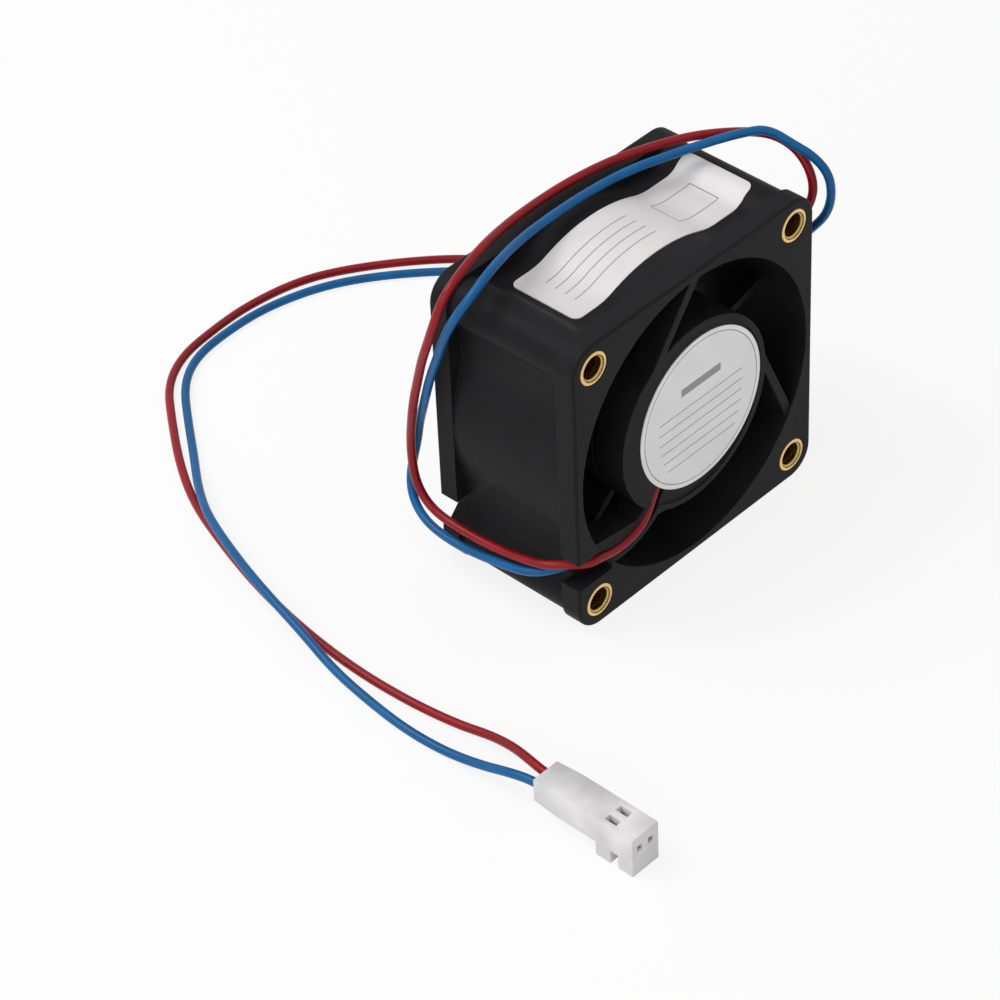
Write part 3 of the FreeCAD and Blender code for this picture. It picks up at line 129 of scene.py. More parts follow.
RED_FREE = [
    (-0.02930, -0.01180, 0.01341),
    (-0.03016, -0.01083, 0.01335),
    (-0.03100, -0.00890, 0.01290),
    (-0.03120, -0.00630, 0.01210),
    (-0.03110, -0.00300, 0.01120),
    (-0.03100, 0.00130, 0.01030),
    (-0.03100, 0.00590, 0.00990),
    (-0.03100, 0.01060, 0.00980),
    (-0.03100, 0.01530, 0.01010),
    (-0.03100, 0.01840, 0.01150),
    (-0.03100, 0.02050, 0.01430),
    (-0.03100, 0.02130, 0.01820),
    (-0.03110, 0.02130, 0.02360),
    (-0.03190, 0.01990, 0.02940),
    (-0.03250, 0.01840, 0.03510),
    (-0.03300, 0.01660, 0.04050),
    (-0.03400, 0.01430, 0.04650),
    (-0.03460, 0.01220, 0.05120),
    (-0.03470, 0.01040, 0.05620),
    (-0.03360, 0.00930, 0.06090),
    (-0.03040, 0.00920, 0.06350),
    (-0.02230, 0.01140, 0.06400),
    (-0.01340, 0.01380, 0.06280),
    (-0.00370, 0.01500, 0.06190),
    (0.00480, 0.01470, 0.06180),
    (0.01320, 0.01330, 0.06170),
    (0.02010, 0.01030, 0.06210),
    (0.02550, 0.00640, 0.06300),
    (0.03160, 0.00260, 0.06220),
    (0.03600, -0.00120, 0.06130),
    (0.03750, -0.00520, 0.05970),
    (0.03760, -0.00840, 0.05710),
    (0.03700, -0.01040, 0.05360),
    (0.03650, -0.00960, 0.04920),
    (0.03650, -0.00650, 0.04490),
    (0.03700, -0.00090, 0.03790),
    (0.03740, 0.00680, 0.02990),
    (0.03780, 0.01580, 0.02140),
    (0.03830, 0.02630, 0.01320),
    (0.03910, 0.03770, 0.00670),
    (0.03940, 0.04860, 0.00250),
    (0.03810, 0.05970, 0.00090),
    (0.03470, 0.06830, 0.00090),
    (0.02750, 0.07610, 0.00090),
    (0.01790, 0.08390, 0.00090),
    (0.00840, 0.08930, 0.00090),
    (-0.00360, 0.09140, 0.00090),
    (-0.01330, 0.09100, 0.00090),
    (-0.02220, 0.08980, 0.00090),
    (-0.02980, 0.08560, 0.00090),
    (-0.03590, 0.07820, 0.00090),
    (-0.04350, 0.06820, 0.00090),
    (-0.04960, 0.05800, 0.00090),
    (-0.05430, 0.04470, 0.00090),
    (-0.05790, 0.03220, 0.00090),
    (-0.06040, 0.01830, 0.00090),
    (-0.06140, 0.00550, 0.00090),
    (-0.06100, -0.00630, 0.00090),
    (-0.05970, -0.01570, 0.00090),
    (-0.05900, -0.02250, 0.00220),
    (-0.05980, -0.02820, 0.00390),
    (-0.06110, -0.03300, 0.00510),
    (-0.06190, -0.03710, 0.00540),
    (-0.06190, -0.04010, 0.00540),
]
BLUE_FREE = [
    (-0.02930, -0.01010, 0.01151),
    (-0.03012, -0.00917, 0.01110),
    (-0.03130, -0.00700, 0.01030),
    (-0.03190, -0.00450, 0.00960),
    (-0.03200, -0.00180, 0.00900),
    (-0.03200, 0.00140, 0.00830),
    (-0.03200, 0.00540, 0.00750),
    (-0.03200, 0.00980, 0.00700),
    (-0.03190, 0.01400, 0.00700),
    (-0.03160, 0.01760, 0.00740),
    (-0.03090, 0.02070, 0.00840),
    (-0.03010, 0.02280, 0.01030),
    (-0.02940, 0.02370, 0.01320),
    (-0.02900, 0.02310, 0.01740),
    (-0.02900, 0.02180, 0.02220),
    (-0.02950, 0.02040, 0.02760),
    (-0.03100, 0.01730, 0.03460),
    (-0.03210, 0.01460, 0.04150),
    (-0.03300, 0.01150, 0.04820),
    (-0.03360, 0.00890, 0.05420),
    (-0.03320, 0.00640, 0.05940),
    (-0.03100, 0.00490, 0.06280),
    (-0.02540, 0.00590, 0.06440),
    (-0.01540, 0.00920, 0.06280),
    (-0.00610, 0.01020, 0.06220),
    (0.00330, 0.01050, 0.06170),
    (0.01190, 0.00940, 0.06180),
    (0.01920, 0.00670, 0.06210),
    (0.02540, 0.00310, 0.06320),
    (0.03010, -0.00030, 0.06410),
    (0.03380, -0.00270, 0.06400),
    (0.03600, -0.00660, 0.06130),
    (0.03750, -0.00970, 0.05950),
    (0.03840, -0.01230, 0.05660),
    (0.03880, -0.01280, 0.05230),
    (0.03870, -0.01190, 0.04780),
    (0.03800, -0.00930, 0.04390),
    (0.03730, -0.00420, 0.03770),
    (0.03660, 0.00240, 0.03070),
    (0.03610, 0.01060, 0.02300),
    (0.03580, 0.02020, 0.01530),
    (0.03620, 0.03120, 0.00840),
    (0.03680, 0.04240, 0.00330),
    (0.03670, 0.05350, 0.00090),
    (0.03320, 0.06400, 0.00090),
    (0.02670, 0.07160, 0.00090),
    (0.01800, 0.07950, 0.00090),
    (0.00910, 0.08510, 0.00090),
    (-0.00200, 0.08840, 0.00090),
    (-0.01220, 0.08870, 0.00090),
    (-0.02080, 0.08760, 0.00090),
    (-0.02780, 0.08350, 0.00090),
    (-0.03460, 0.07520, 0.00090),
    (-0.03990, 0.06830, 0.00090),
    (-0.04740, 0.05900, 0.00220),
    (-0.05290, 0.05040, 0.00400),
    (-0.05730, 0.03870, 0.00440),
    (-0.06010, 0.02970, 0.00460),
    (-0.06210, 0.01850, 0.00300),
    (-0.06410, 0.00910, 0.00140),
    (-0.06530, -0.00030, 0.00090),
    (-0.06620, -0.00980, 0.00090),
    (-0.06580, -0.01820, 0.00090),
    (-0.06520, -0.02560, 0.00210),
    (-0.06500, -0.03230, 0.00450),
    (-0.06450, -0.03710, 0.00540),
    (-0.06450, -0.04010, 0.00540),
]


def colour_property(name, description, default):
    return bpy.props.FloatVectorProperty(
        name=name, description=description, subtype="COLOR", size=3, min=0.0, max=1.0, default=default
    )


def length_property(name, description, default):
    return bpy.props.FloatProperty(
        name=name, description=description, unit="LENGTH", min=0.0, precision=5, default=default
    )


def angle_property(name, description, degrees):
    return bpy.props.FloatProperty(
        name=name, description=description, subtype="ANGLE", default=math.radians(degrees)
    )


def power_property(name, description, default):
    return bpy.props.FloatProperty(
        name=name, description=description, unit="POWER", min=0.0, default=default
    )


def share_property(name, description, default):
    return bpy.props.FloatProperty(
        name=name, description=description, subtype="FACTOR", min=0.0, max=1.0, default=default
    )


class FanPlastics(bpy.types.PropertyGroup):
    """Colours and grain of the moulded parts"""

    housing: colour_property("Housing", "Black of the housing", (0.0110, 0.0104, 0.0115))
    impeller: colour_property("Impeller", "Black of the impeller", (0.0085, 0.0080, 0.0088))
    insulator: colour_property("Insulators", "Nylon of the stator's end plates", (0.62, 0.58, 0.47))
    epoxy: colour_property("Chips", "Epoxy of the chips on the board", (0.012, 0.012, 0.013))
    laminate: colour_property("Board", "Solder resist on the circuit board", (0.012, 0.115, 0.045))
    grain: length_property("Grain", "Size of the housing's moulded grain", 0.35 * MM)
    edge: length_property("Edge", "Radius of a moulded edge", 0.22 * MM)


class FanMetals(bpy.types.PropertyGroup):
    """Colours of the metal parts and the lips of the bushes"""

    brass: colour_property("Brass", "Brass of the mounting bushes", (0.83, 0.58, 0.21))
    tube: colour_property("Tube", "Brass of the bearing tube", (0.74, 0.53, 0.22))
    bearing: colour_property("Bearings", "Steel of the bearings", (0.66, 0.66, 0.67))
    steel: colour_property("Turned steel", "Steel of the shaft, cup and clips", (0.53, 0.53, 0.54))
    tin: colour_property("Tin", "Tin plating of the contacts", (0.70, 0.69, 0.66))
    copper: colour_property("Copper", "Enamelled copper of the windings", (0.72, 0.26, 0.09))
    lip: length_property("Lip", "Rounding of a bush's outer lip", 0.30 * MM)
    chamfer: length_property("Chamfer", "Chamfer of a bush's bore", 0.40 * MM)
    bore: length_property("Bore", "Bore radius of a bush", 2.15 * MM)


class FanLabels(bpy.types.PropertyGroup):
    """Colours and print of the two labels"""

    foil: colour_property("Hub label", "Pale foil of the hub label", (0.93, 0.92, 0.92))
    rim: colour_property("Hub rim", "White rim of the hub label", (0.97, 0.96, 0.96))
    paper: colour_property("Side label", "White of the side label", (0.77, 0.75, 0.75))
    ink: colour_property("Ink", "Grey of the printed rules", (0.16, 0.16, 0.17))
    rim_width: length_property("Rim width", "Width of the hub label's white rim", 0.9 * MM)
    rule: length_property("Rule", "Thickness of a printed rule", 0.20 * MM)
    row_pitch: length_property("Row pitch", "Distance between printed rules", 2.2 * MM)


class FanLeads(bpy.types.PropertyGroup):
    """Insulation of the two leads"""

    red: colour_property("Red", "Insulation of the red lead", (0.25, 0.005, 0.010))
    blue: colour_property("Blue", "Insulation of the blue lead", (0.002, 0.098, 0.275))
    diameter: length_property("Diameter", "Outside diameter of a lead", 1.6 * MM)
    length: length_property("Length", "Free length of each lead", 481.0 * MM)


class FanConnector(bpy.types.PropertyGroup):
    """Nylon shell on the ends of the leads"""

    nylon: colour_property("Nylon", "Nylon of the connector", (0.61, 0.60, 0.60))
    foot: length_property("Foot height", "Height of the locking feet", 2.8 * MM)
    foot_length: length_property("Foot length", "Length of a locking foot", 3.2 * MM)
    foot_gap: length_property("Foot gap", "Gap between the locking feet", 1.6 * MM)
    collar: length_property("Collar", "Length of the slimmer wire end", 5.2 * MM)
    step: length_property("Step", "Drop from the body to the collar", 0.25 * MM)
    pitch: length_property("Pitch", "Distance between the contacts", 2.6 * MM)
    cavity: length_property("Cavity", "Width of a contact cavity", 2.0 * MM)
    mouth: length_property("Mouth", "Opening for a mating pin", 1.2 * MM)
    end_wall: length_property("End wall", "Wall in front of a contact", 1.2 * MM)
    window_length: length_property("Window length", "Length of a lance window", 2.4 * MM)
    window_width: length_property("Window width", "Width of a lance window", 1.3 * MM)
    window_inset: length_property("Window inset", "Window from the mating end", 4.4 * MM)
    edge: length_property("Edge", "Rounding of the shell's edges", 0.16 * MM)


class FanStage(bpy.types.PropertyGroup):
    """Floor, lights and camera"""

    azimuth: angle_property("Azimuth", "Camera's turn round the fan", -45.105)
    elevation: angle_property("Elevation", "Camera's height above the floor", 40.63)
    roll: angle_property("Roll", "Camera's roll", -2.753)
    distance: length_property("Distance", "Camera to its target", 700.0 * MM)
    aside: length_property("Aside", "Target to the left of the fan's middle", 21.374 * MM)
    below: length_property("Below", "Target below the fan's middle", 21.285 * MM)
    lens: bpy.props.FloatProperty(
        name="Lens", description="Focal length", subtype="DISTANCE_CAMERA", default=148.283
    )
    floor: colour_property("Floor", "Pale floor", (0.90, 0.90, 0.90))
    sky: share_property("Sky", "Strength of the even light all round", 0.52)
    clean: share_property("Clean floor", "How much of the floor's shadow is hidden", 0.84)
    key: power_property("Key", "Large lamp above and behind on the left", 2.4)
    fill: power_property("Fill", "Soft lamp on the left", 1.2)


def add_node(tree, kind, inputs=None, **settings):
    """Adds a node; an input that is a socket is linked, and any other is set."""
    node = tree.nodes.new(kind)
    for name, value in settings.items():
        setattr(node, name, value)
    set_inputs(tree, node, inputs or {})
    return node


def set_inputs(tree, node, inputs):
    for name, value in inputs.items():
        if isinstance(value, bpy.types.NodeSocket):
            tree.links.new(value, node.inputs[name])
        else:
            node.inputs[name].default_value = value


def opaque(colour):
    return (*colour, 1.0)


def shade(colour, times):
    return tuple(min(1.0, part * times) for part in colour)


def mix_colours(tree, factor, first, second):
    """First colour where the factor is 0, second where it is 1; each is a colour or a socket."""
    node = tree.nodes.new("ShaderNodeMix")
    node.data_type = "RGBA"
    tree.links.new(factor, node.inputs["Factor"])
    colour_inputs = [socket for socket in node.inputs if socket.type == "RGBA"]
    for socket, value in zip(colour_inputs, (first, second)):
        if isinstance(value, bpy.types.NodeSocket):
            tree.links.new(value, socket)
        else:
            socket.default_value = opaque(value)
    return next(socket for socket in node.outputs if socket.type == "RGBA")


def math_node(tree, operation, first, second=0.0):
    return add_node(tree, "ShaderNodeMath", {0: first, 1: second}, operation=operation).outputs[0]


def spread(tree, value, low, high, to_low=0.0, to_high=1.0):
    """Maps a value from one range to another, held at its ends."""
    node = add_node(
        tree, "ShaderNodeMapRange",
        {"Value": value, "From Min": low, "From Max": high, "To Min": to_low, "To Max": to_high},
    )
    return node.outputs["Result"]


def object_place(tree):
    return add_node(tree, "ShaderNodeTexCoord").outputs["Object"]


def axes(tree, place):
    """The x, y and z of a place."""
    split = add_node(tree, "ShaderNodeSeparateXYZ", {"Vector": place})
    return split.outputs["X"], split.outputs["Y"], split.outputs["Z"]


def distance(tree, first, second):
    """Straight distance over two offsets at right angles."""
    squares = [math_node(tree, "POWER", side, 2.0) for side in (first, second)]
    return math_node(tree, "SQRT", math_node(tree, "ADD", *squares))


def noise(tree, vector, scale, detail=2.0, roughness=0.5):
    inputs = {"Vector": vector, "Scale": scale, "Detail": detail, "Roughness": roughness}
    return add_node(tree, "ShaderNodeTexNoise", inputs).outputs["Fac"]


def start_group(name, inputs, outputs):
    """Starts a shader node group; gives its tree, its input node and its output node."""
    tree = bpy.data.node_groups.new(name, "ShaderNodeTree")
    for label, default in inputs.items():
        socket = tree.interface.new_socket(label, in_out="INPUT", socket_type="NodeSocketFloat")
        socket.default_value = default
    for label, kind in outputs.items():
        tree.interface.new_socket(label, in_out="OUTPUT", socket_type=kind)
    return tree, tree.nodes.new("NodeGroupInput"), tree.nodes.new("NodeGroupOutput")


def make_grain_group():
    """Moulded grain: a fine pebbled height, and cloudy patches of gloss."""
    pebble_share = 0.6  # of the pebbles in the height
    tree, given, result = start_group(
        "moulded_grain", {"Grain": 2800.0, "Patches": 90.0},
        {"Height": "NodeSocketFloat", "Patch": "NodeSocketFloat"},
    )
    vector = object_place(tree)
    pebbles = add_node(
        tree, "ShaderNodeTexVoronoi", {"Vector": vector, "Scale": given.outputs["Grain"]},
        feature="SMOOTH_F1",
    )
    domes = math_node(tree, "MULTIPLY", pebbles.outputs["Distance"], pebble_share)
    grit = noise(tree, vector, given.outputs["Grain"], detail=3.0, roughness=0.6)
    cloud = noise(tree, vector, given.outputs["Patches"], detail=3.0)
    set_inputs(tree, result, {
        "Height": math_node(tree, "ADD", domes, grit),
        "Patch": spread(tree, cloud, 0.36, 0.64),
    })


def make_edge_group():
    """Soft edges: a rounded normal, and a broken mask along the edges where the finishes paint highlights.
    """
    flat_until, bent_from = 0.995, 0.80  # how far the rounded normal agrees with the flat one
    tree, given, result = start_group(
        "soft_edges", {"Radius": 0.2 * MM, "Breaks": 900.0},
        {"Edge": "NodeSocketFloat", "Normal": "NodeSocketVector"},
    )
    rounded = add_node(tree, "ShaderNodeBevel", {"Radius": given.outputs["Radius"]}, samples=4)
    flat = add_node(tree, "ShaderNodeNewGeometry").outputs["Normal"]
    same = add_node(
        tree, "ShaderNodeVectorMath", {0: rounded.outputs["Normal"], 1: flat}, operation="DOT_PRODUCT"
    )
    bend = spread(tree, same.outputs["Value"], flat_until, bent_from)
    # Noise that breaks up the painted edge highlight
    highlight_breakup = noise(tree, object_place(tree), given.outputs["Breaks"], detail=3.0)
    edge = math_node(tree, "MULTIPLY", bend, spread(tree, highlight_breakup, 0.35, 0.62))
    set_inputs(tree, result, {"Edge": edge, "Normal": rounded.outputs["Normal"]})


def make_turned_group():
    """Lathe marks round axes that lie off the fan's axis by the same amount in x and z."""
    broad_share = 0.18  # of the fine marks' pitch
    tree, given, result = start_group(
        "turned_marks", {"Offset": 0.0, "Pitch": 9000.0},
        {"Height": "NodeSocketFloat", "Streak": "NodeSocketFloat"},
    )
    x, y, z = axes(tree, object_place(tree))
    across = math_node(tree, "SUBTRACT", math_node(tree, "ABSOLUTE", x), given.outputs["Offset"])
    above = math_node(tree, "ABSOLUTE", math_node(tree, "SUBTRACT", z, AXIS_HEIGHT))
    above = math_node(tree, "SUBTRACT", above, given.outputs["Offset"])
    along = add_node(tree, "ShaderNodeCombineXYZ", {"X": distance(tree, across, above), "Y": y})
    fine = noise(tree, along.outputs["Vector"], given.outputs["Pitch"], detail=2.0, roughness=0.7)
    broad_pitch = math_node(tree, "MULTIPLY", given.outputs["Pitch"], broad_share)
    broad = noise(tree, along.outputs["Vector"], broad_pitch)
    set_inputs(tree, result, {"Height": fine, "Streak": spread(tree, broad, 0.35, 0.65)})


def add_group(tree, name, inputs=None):
    node = add_node(tree, "ShaderNodeGroup", node_tree=bpy.data.node_groups[name])
    set_inputs(tree, node, inputs or {})
    return node


def new_finish(slot):
    """A material for a slot of the record, put on each of the slot's nodes."""
    finish = bpy.data.materials.new(slot + "_finish")
    finish.use_nodes = True
    nodes = [node for node, named in SLOT_OF.items() if named == slot]
    if not nodes:
        raise RuntimeError(f"no node has the slot {slot}")
    for node in nodes:
        frame["nodes"][node].material_slots[0].material = finish
    return finish.node_tree, finish.node_tree.nodes["Principled BSDF"]


def bump(tree, height, depth, normal=None):
    node = add_node(tree, "ShaderNodeBump", {"Height": height, "Distance": depth})
    if normal is not None:
        tree.links.new(normal, node.inputs["Normal"])
    return node.outputs["Normal"]


def finish_moulding(slot, colour, *, grain, depth, roughness, edge, specular, edge_highlight):
    """Moulded plastic with grain, cloudy gloss, rounded edge normals and a painted highlight along the
    edges
    """
    patch_shade, patch_dulling = 1.35, 0.12
    tree, shader = new_finish(slot)
    pebbled = add_group(tree, "moulded_grain", {"Grain": 1 / grain})
    edges = add_group(tree, "soft_edges", {"Radius": edge})
    patch = pebbled.outputs["Patch"]
    cloudy = mix_colours(tree, patch, colour, shade(colour, patch_shade))
    set_inputs(tree, shader, {
        # Painted highlight: the colour is made lighter along the edges, where they would catch the light
        "Base Color": mix_colours(tree, edges.outputs["Edge"], cloudy, shade(colour, edge_highlight)),
        "Roughness": spread(tree, patch, 0.0, 1.0, roughness, roughness + patch_dulling),
        "Specular IOR Level": specular,
        "Normal": bump(tree, pebbled.outputs["Height"], depth, edges.outputs["Normal"]),
    })


def finish_metal(slot, colour, roughness, offset=0.0, depth=0.004 * MM):
    """Turned or drawn metal with lathe marks and a painted highlight along the edges"""
    edge_radius = 0.12 * MM
    streak_shade, edge_highlight, streak_dulling = 0.82, 1.15, 0.12
    tree, shader = new_finish(slot)
    marks = add_group(tree, "turned_marks", {"Offset": offset})
    edges = add_group(tree, "soft_edges", {"Radius": edge_radius})
    streak = marks.outputs["Streak"]
    streaked = mix_colours(tree, streak, shade(colour, streak_shade), colour)
    set_inputs(tree, shader, {
        # Painted highlight: the colour is made lighter along the edges, where they would catch the light
        "Base Color": mix_colours(tree, edges.outputs["Edge"], streaked, shade(colour, edge_highlight)),
        "Metallic": 1.0,
        "Roughness": spread(tree, streak, 0.0, 1.0, roughness + streak_dulling, roughness),
        "Normal": bump(tree, marks.outputs["Height"], depth, edges.outputs["Normal"]),
    })


def finish_insulation(slot, colour):
    """Extruded insulation with a soft shine, faint lengthwise waves and rub marks"""
    rub_shade, shine, dullest = 1.25, 0.30, 0.44
    tree, shader = new_finish(slot)
    vector = object_place(tree)
    rubbed = spread(tree, noise(tree, vector, scale=160.0, detail=3.0), 0.42, 0.72)
    set_inputs(tree, shader, {
        "Base Color": mix_colours(tree, rubbed, colour, shade(colour, rub_shade)),
        "Roughness": spread(tree, rubbed, 0.0, 1.0, shine, dullest),
        "Specular IOR Level": 0.25,
        "Normal": bump(tree, noise(tree, vector, scale=700.0), 0.03 * MM),
    })


def finish_winding(colour):
    """Enamelled wire laid side by side round each pole"""
    wire_phase = 9000.0  # radians in a metre: a wire is about 0.35 mm across
    dark_shade, hollow, crown = 0.7, 0.5, 0.28
    tree, shader = new_finish("winding_copper")
    vector = object_place(tree)
    x, _, z = axes(tree, vector)
    above = math_node(tree, "SUBTRACT", z, AXIS_HEIGHT)
    out = math_node(
        tree, "MAXIMUM", math_node(tree, "ABSOLUTE", x), math_node(tree, "ABSOLUTE", above)
    )
    wave = math_node(tree, "SINE", math_node(tree, "MULTIPLY", out, wire_phase))
    wire = math_node(tree, "ABSOLUTE", wave)
    tone = spread(tree, noise(tree, vector, scale=500.0), 0.3, 0.7)
    set_inputs(tree, shader, {
        "Base Color": mix_colours(tree, tone, shade(colour, dark_shade), colour),
        "Metallic": 1.0,
        "Roughness": spread(tree, wire, 0.0, 1.0, hollow, crown),
        "Normal": bump(tree, wire, 0.15 * MM),
    })


def finish_stack():
    """Stator sheets: thin dark lines between the stamped plates"""
    sheet_thickness = 0.5 * MM
    dark_plate, pale_plate, seam_tone = (0.20, 0.20, 0.21), (0.36, 0.36, 0.37), (0.03, 0.03, 0.035)
    tree, shader = new_finish("stator_steel")
    vector = object_place(tree)
    _, y, _ = axes(tree, vector)
    sheet = math_node(tree, "FRACT", math_node(tree, "MULTIPLY", y, 1 / sheet_thickness))
    off_middle = math_node(tree, "ABSOLUTE", math_node(tree, "SUBTRACT", sheet, 0.5))
    seam = spread(tree, off_middle, 0.36, 0.5)
    plate = mix_colours(tree, noise(tree, vector, scale=900.0), dark_plate, pale_plate)
    set_inputs(tree, shader, {
        "Base Color": mix_colours(tree, seam, plate, seam_tone),
        "Metallic": 1.0,
        "Roughness": spread(tree, seam, 0.0, 1.0, 0.42, 0.75),
        "Normal": bump(tree, seam, -0.05 * MM),
    })


def finish_magnet():
    """Sintered ferrite: dark, fine and slightly speckled"""
    dark, pale = (0.028, 0.028, 0.030), (0.075, 0.073, 0.072)
    tree, shader = new_finish("magnet_ferrite")
    grit = noise(tree, object_place(tree), scale=2600.0, detail=4.0, roughness=0.7)
    speck = spread(tree, grit, 0.4, 0.75)
    set_inputs(tree, shader, {
        "Base Color": mix_colours(tree, speck, dark, pale),
        "Roughness": spread(tree, speck, 0.0, 1.0, 0.48, 0.72),
        "Normal": bump(tree, speck, 0.02 * MM),
    })


def finish_board(colour):
    """Solder resist over a glass weave"""
    thread_phase = 12000.0  # radians in a metre: a thread is about 0.26 mm across
    dark_shade, pale_shade, thread_shade = 0.8, 1.2, 1.3
    tree, shader = new_finish("board_laminate")
    vector = object_place(tree)
    x, _, z = axes(tree, vector)
    warp, weft = [
        math_node(tree, "SINE", math_node(tree, "MULTIPLY", axis, thread_phase)) for axis in (x, z)
    ]
    weave = math_node(tree, "MULTIPLY", warp, weft)
    tone = mix_colours(
        tree, noise(tree, vector, scale=240.0), shade(colour, dark_shade), shade(colour, pale_shade)
    )
    raised = spread(tree, weave, -1.0, 1.0)
    set_inputs(tree, shader, {
        "Base Color": mix_colours(tree, raised, tone, shade(colour, thread_shade)),
        "Roughness": spread(tree, weave, -1.0, 1.0, 0.28, 0.40),
        "Normal": bump(tree, weave, 0.01 * MM),
    })


def stripe(tree, value, middle, thickness):
    """1 on a printed stripe at that place, 0 beside it."""
    off = math_node(tree, "ABSOLUTE", math_node(tree, "SUBTRACT", value, middle))
    return math_node(tree, "LESS_THAN", off, thickness / 2)


def between(tree, value, low, high):
    inside = math_node(tree, "GREATER_THAN", value, low)
    return math_node(tree, "MULTIPLY", inside, math_node(tree, "LESS_THAN", value, high))


def bar(tree, across, along, middle, thickness, half_length):
    """1 on a printed bar that lies at one place across and spreads both ways along."""
    return math_node(
        tree, "MULTIPLY", stripe(tree, across, middle, thickness),
        between(tree, along, -half_length, half_length),
    )


def empty_frame(tree, across, along, corners, thickness):
    """1 on the outline of a printed box between two corners."""
    low, high = corners

    def filled(margin):
        return math_node(
            tree, "MULTIPLY", between(tree, across, low[0] + margin, high[0] - margin),
            between(tree, along, low[1] + margin, high[1] - margin),
        )

    return math_node(tree, "SUBTRACT", filled(0.0), filled(thickness))


def any_of(tree, masks):
    total = masks[0]
    for mask in masks[1:]:
        total = math_node(tree, "MAXIMUM", total, mask)
    return total


def finish_label(slot, base, ink_colour, printed, roughness):
    """Coated label stock with fine fibre, a printed pattern and a faint shine"""
    cloud_share, cloud_shade, cloud_dulling, ink_share = 0.35, 0.86, 0.1, 0.8
    tree, shader = new_finish(slot)
    vector = object_place(tree)
    fibre = noise(tree, vector, scale=3200.0, detail=4.0, roughness=0.65)
    cloud = spread(tree, noise(tree, vector, scale=140.0, detail=3.0), 0.35, 0.65)
    stock, ink = printed(tree, base, axes(tree, vector))
    faint_cloud = math_node(tree, "MULTIPLY", cloud, cloud_share)
    faint_ink = math_node(tree, "MULTIPLY", ink, ink_share)
    toned = mix_colours(tree, faint_cloud, stock, shade(base, cloud_shade))
    set_inputs(tree, shader, {
        "Base Color": mix_colours(tree, faint_ink, toned, ink_colour),
        "Roughness": spread(tree, cloud, 0.0, 1.0, roughness, roughness + cloud_dulling),
        "Specular IOR Level": 0.4,
        "Normal": bump(tree, fibre, 0.008 * MM),
    })


def deselect():
    if bpy.context.mode != "OBJECT":
        bpy.ops.object.mode_set(mode="OBJECT")
    bpy.ops.object.select_all(action="DESELECT")


def take(piece):
    """Makes a piece the only one selected, and active."""
    deselect()
    piece.select_set(True)
    bpy.context.view_layer.objects.active = piece


def pick(piece, kind, wanted):
    """Selects the faces or edges that the test wants, in edit mode."""
    bpy.ops.mesh.select_mode(type=kind)
    bpy.ops.mesh.select_all(action="DESELECT")
    shape = bmesh.from_edit_mesh(piece.data)
    parts = {"FACE": shape.faces, "EDGE": shape.edges}[kind]
    found = [part for part in parts if wanted(part)]
    if not found:
        raise RuntimeError(f"{piece.name}: nothing of kind {kind} to work on")
    for part in found:
        part.select_set(True)
    bmesh.update_edit_mesh(piece.data)


def tidy_mesh(piece):
    """Merges doubles and turns the faces outwards, then goes back to object mode."""
    bpy.ops.mesh.select_all(action="SELECT")
    bpy.ops.mesh.remove_doubles(threshold=0.002 * MM)
    bpy.ops.mesh.normals_make_consistent(inside=False)
    bpy.ops.object.mode_set(mode="OBJECT")
    take(piece)
    bpy.ops.object.transform_apply(location=True, rotation=True, scale=True)


def apply_modifier(piece, kind, **settings):
    take(piece)
    modifier = piece.modifiers.new(kind.lower(), kind)
    for name, value in settings.items():
        setattr(modifier, name, value)
    bpy.ops.object.modifier_apply(modifier=modifier.name)


def block(name, low, high):
    """A plain block between two corners, to be shaped further or to cut with."""
    deselect()
    low, high = Vector(low), Vector(high)
    bpy.ops.mesh.primitive_cube_add(size=1.0, location=(low + high) / 2)
    piece = bpy.context.object
    piece.name = name
    piece.scale = high - low
    bpy.ops.object.transform_apply(location=True, rotation=True, scale=True)
    return piece


def hand_in(piece, slot, body="frame"):
    """Gives a new piece its finish, its slot and the body that it rides on."""
    piece.data.materials.clear()
    piece.data.materials.append(bpy.data.materials[slot + "_finish"])
    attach(piece, body)


class FanDressPlastics(bpy.types.Operator):
    """Give the moulded parts their grain, gloss and soft edges"""

    bl_idname = "fan.dress_plastics"
    bl_label = "Dress plastics"

    def execute(self, context):
        plastics = context.scene.fan_plastics
        # The last factor of each finish lightens the colour along its edges as a painted highlight
        finish_moulding(
            "housing_plastic", plastics.housing, grain=plastics.grain, depth=0.035 * MM,
            roughness=0.46, edge=plastics.edge, specular=0.08, edge_highlight=4.5,
        )
        finish_moulding(
            "impeller_plastic", plastics.impeller, grain=plastics.grain, depth=0.02 * MM,
            roughness=0.40, edge=plastics.edge, specular=0.10, edge_highlight=3.0,
        )
        finish_moulding(
            "insulator_nylon", plastics.insulator, grain=plastics.grain, depth=0.02 * MM,
            roughness=0.40, edge=plastics.edge, specular=0.45, edge_highlight=1.1,
        )
        finish_moulding(
            "chip_epoxy", plastics.epoxy, grain=plastics.grain / 3, depth=0.01 * MM,
            roughness=0.50, edge=plastics.edge / 2, specular=0.40, edge_highlight=3.0,
        )
        finish_board(plastics.laminate)
        return {"FINISHED"}


class FanDressMotor(bpy.types.Operator):
    """Give the bearings, shaft, cup, magnet, stator, windings and contacts their metals"""

    bl_idname = "fan.dress_motor"
    bl_label = "Dress motor"

    def execute(self, context):
        metals = context.scene.fan_metals
        finish_metal("bush_brass", metals.brass, roughness=0.20, offset=BUSH_OFFSET)
        finish_metal("tube_brass", metals.tube, roughness=0.26)
        finish_metal("bearing_steel", metals.bearing, roughness=0.14, depth=0.002 * MM)
        finish_metal("turned_steel", metals.steel, roughness=0.28)
        finish_metal("contact_tin", metals.tin, roughness=0.30, depth=0.002 * MM)
        finish_winding(metals.copper)
        finish_stack()
        finish_magnet()
        return {"FINISHED"}


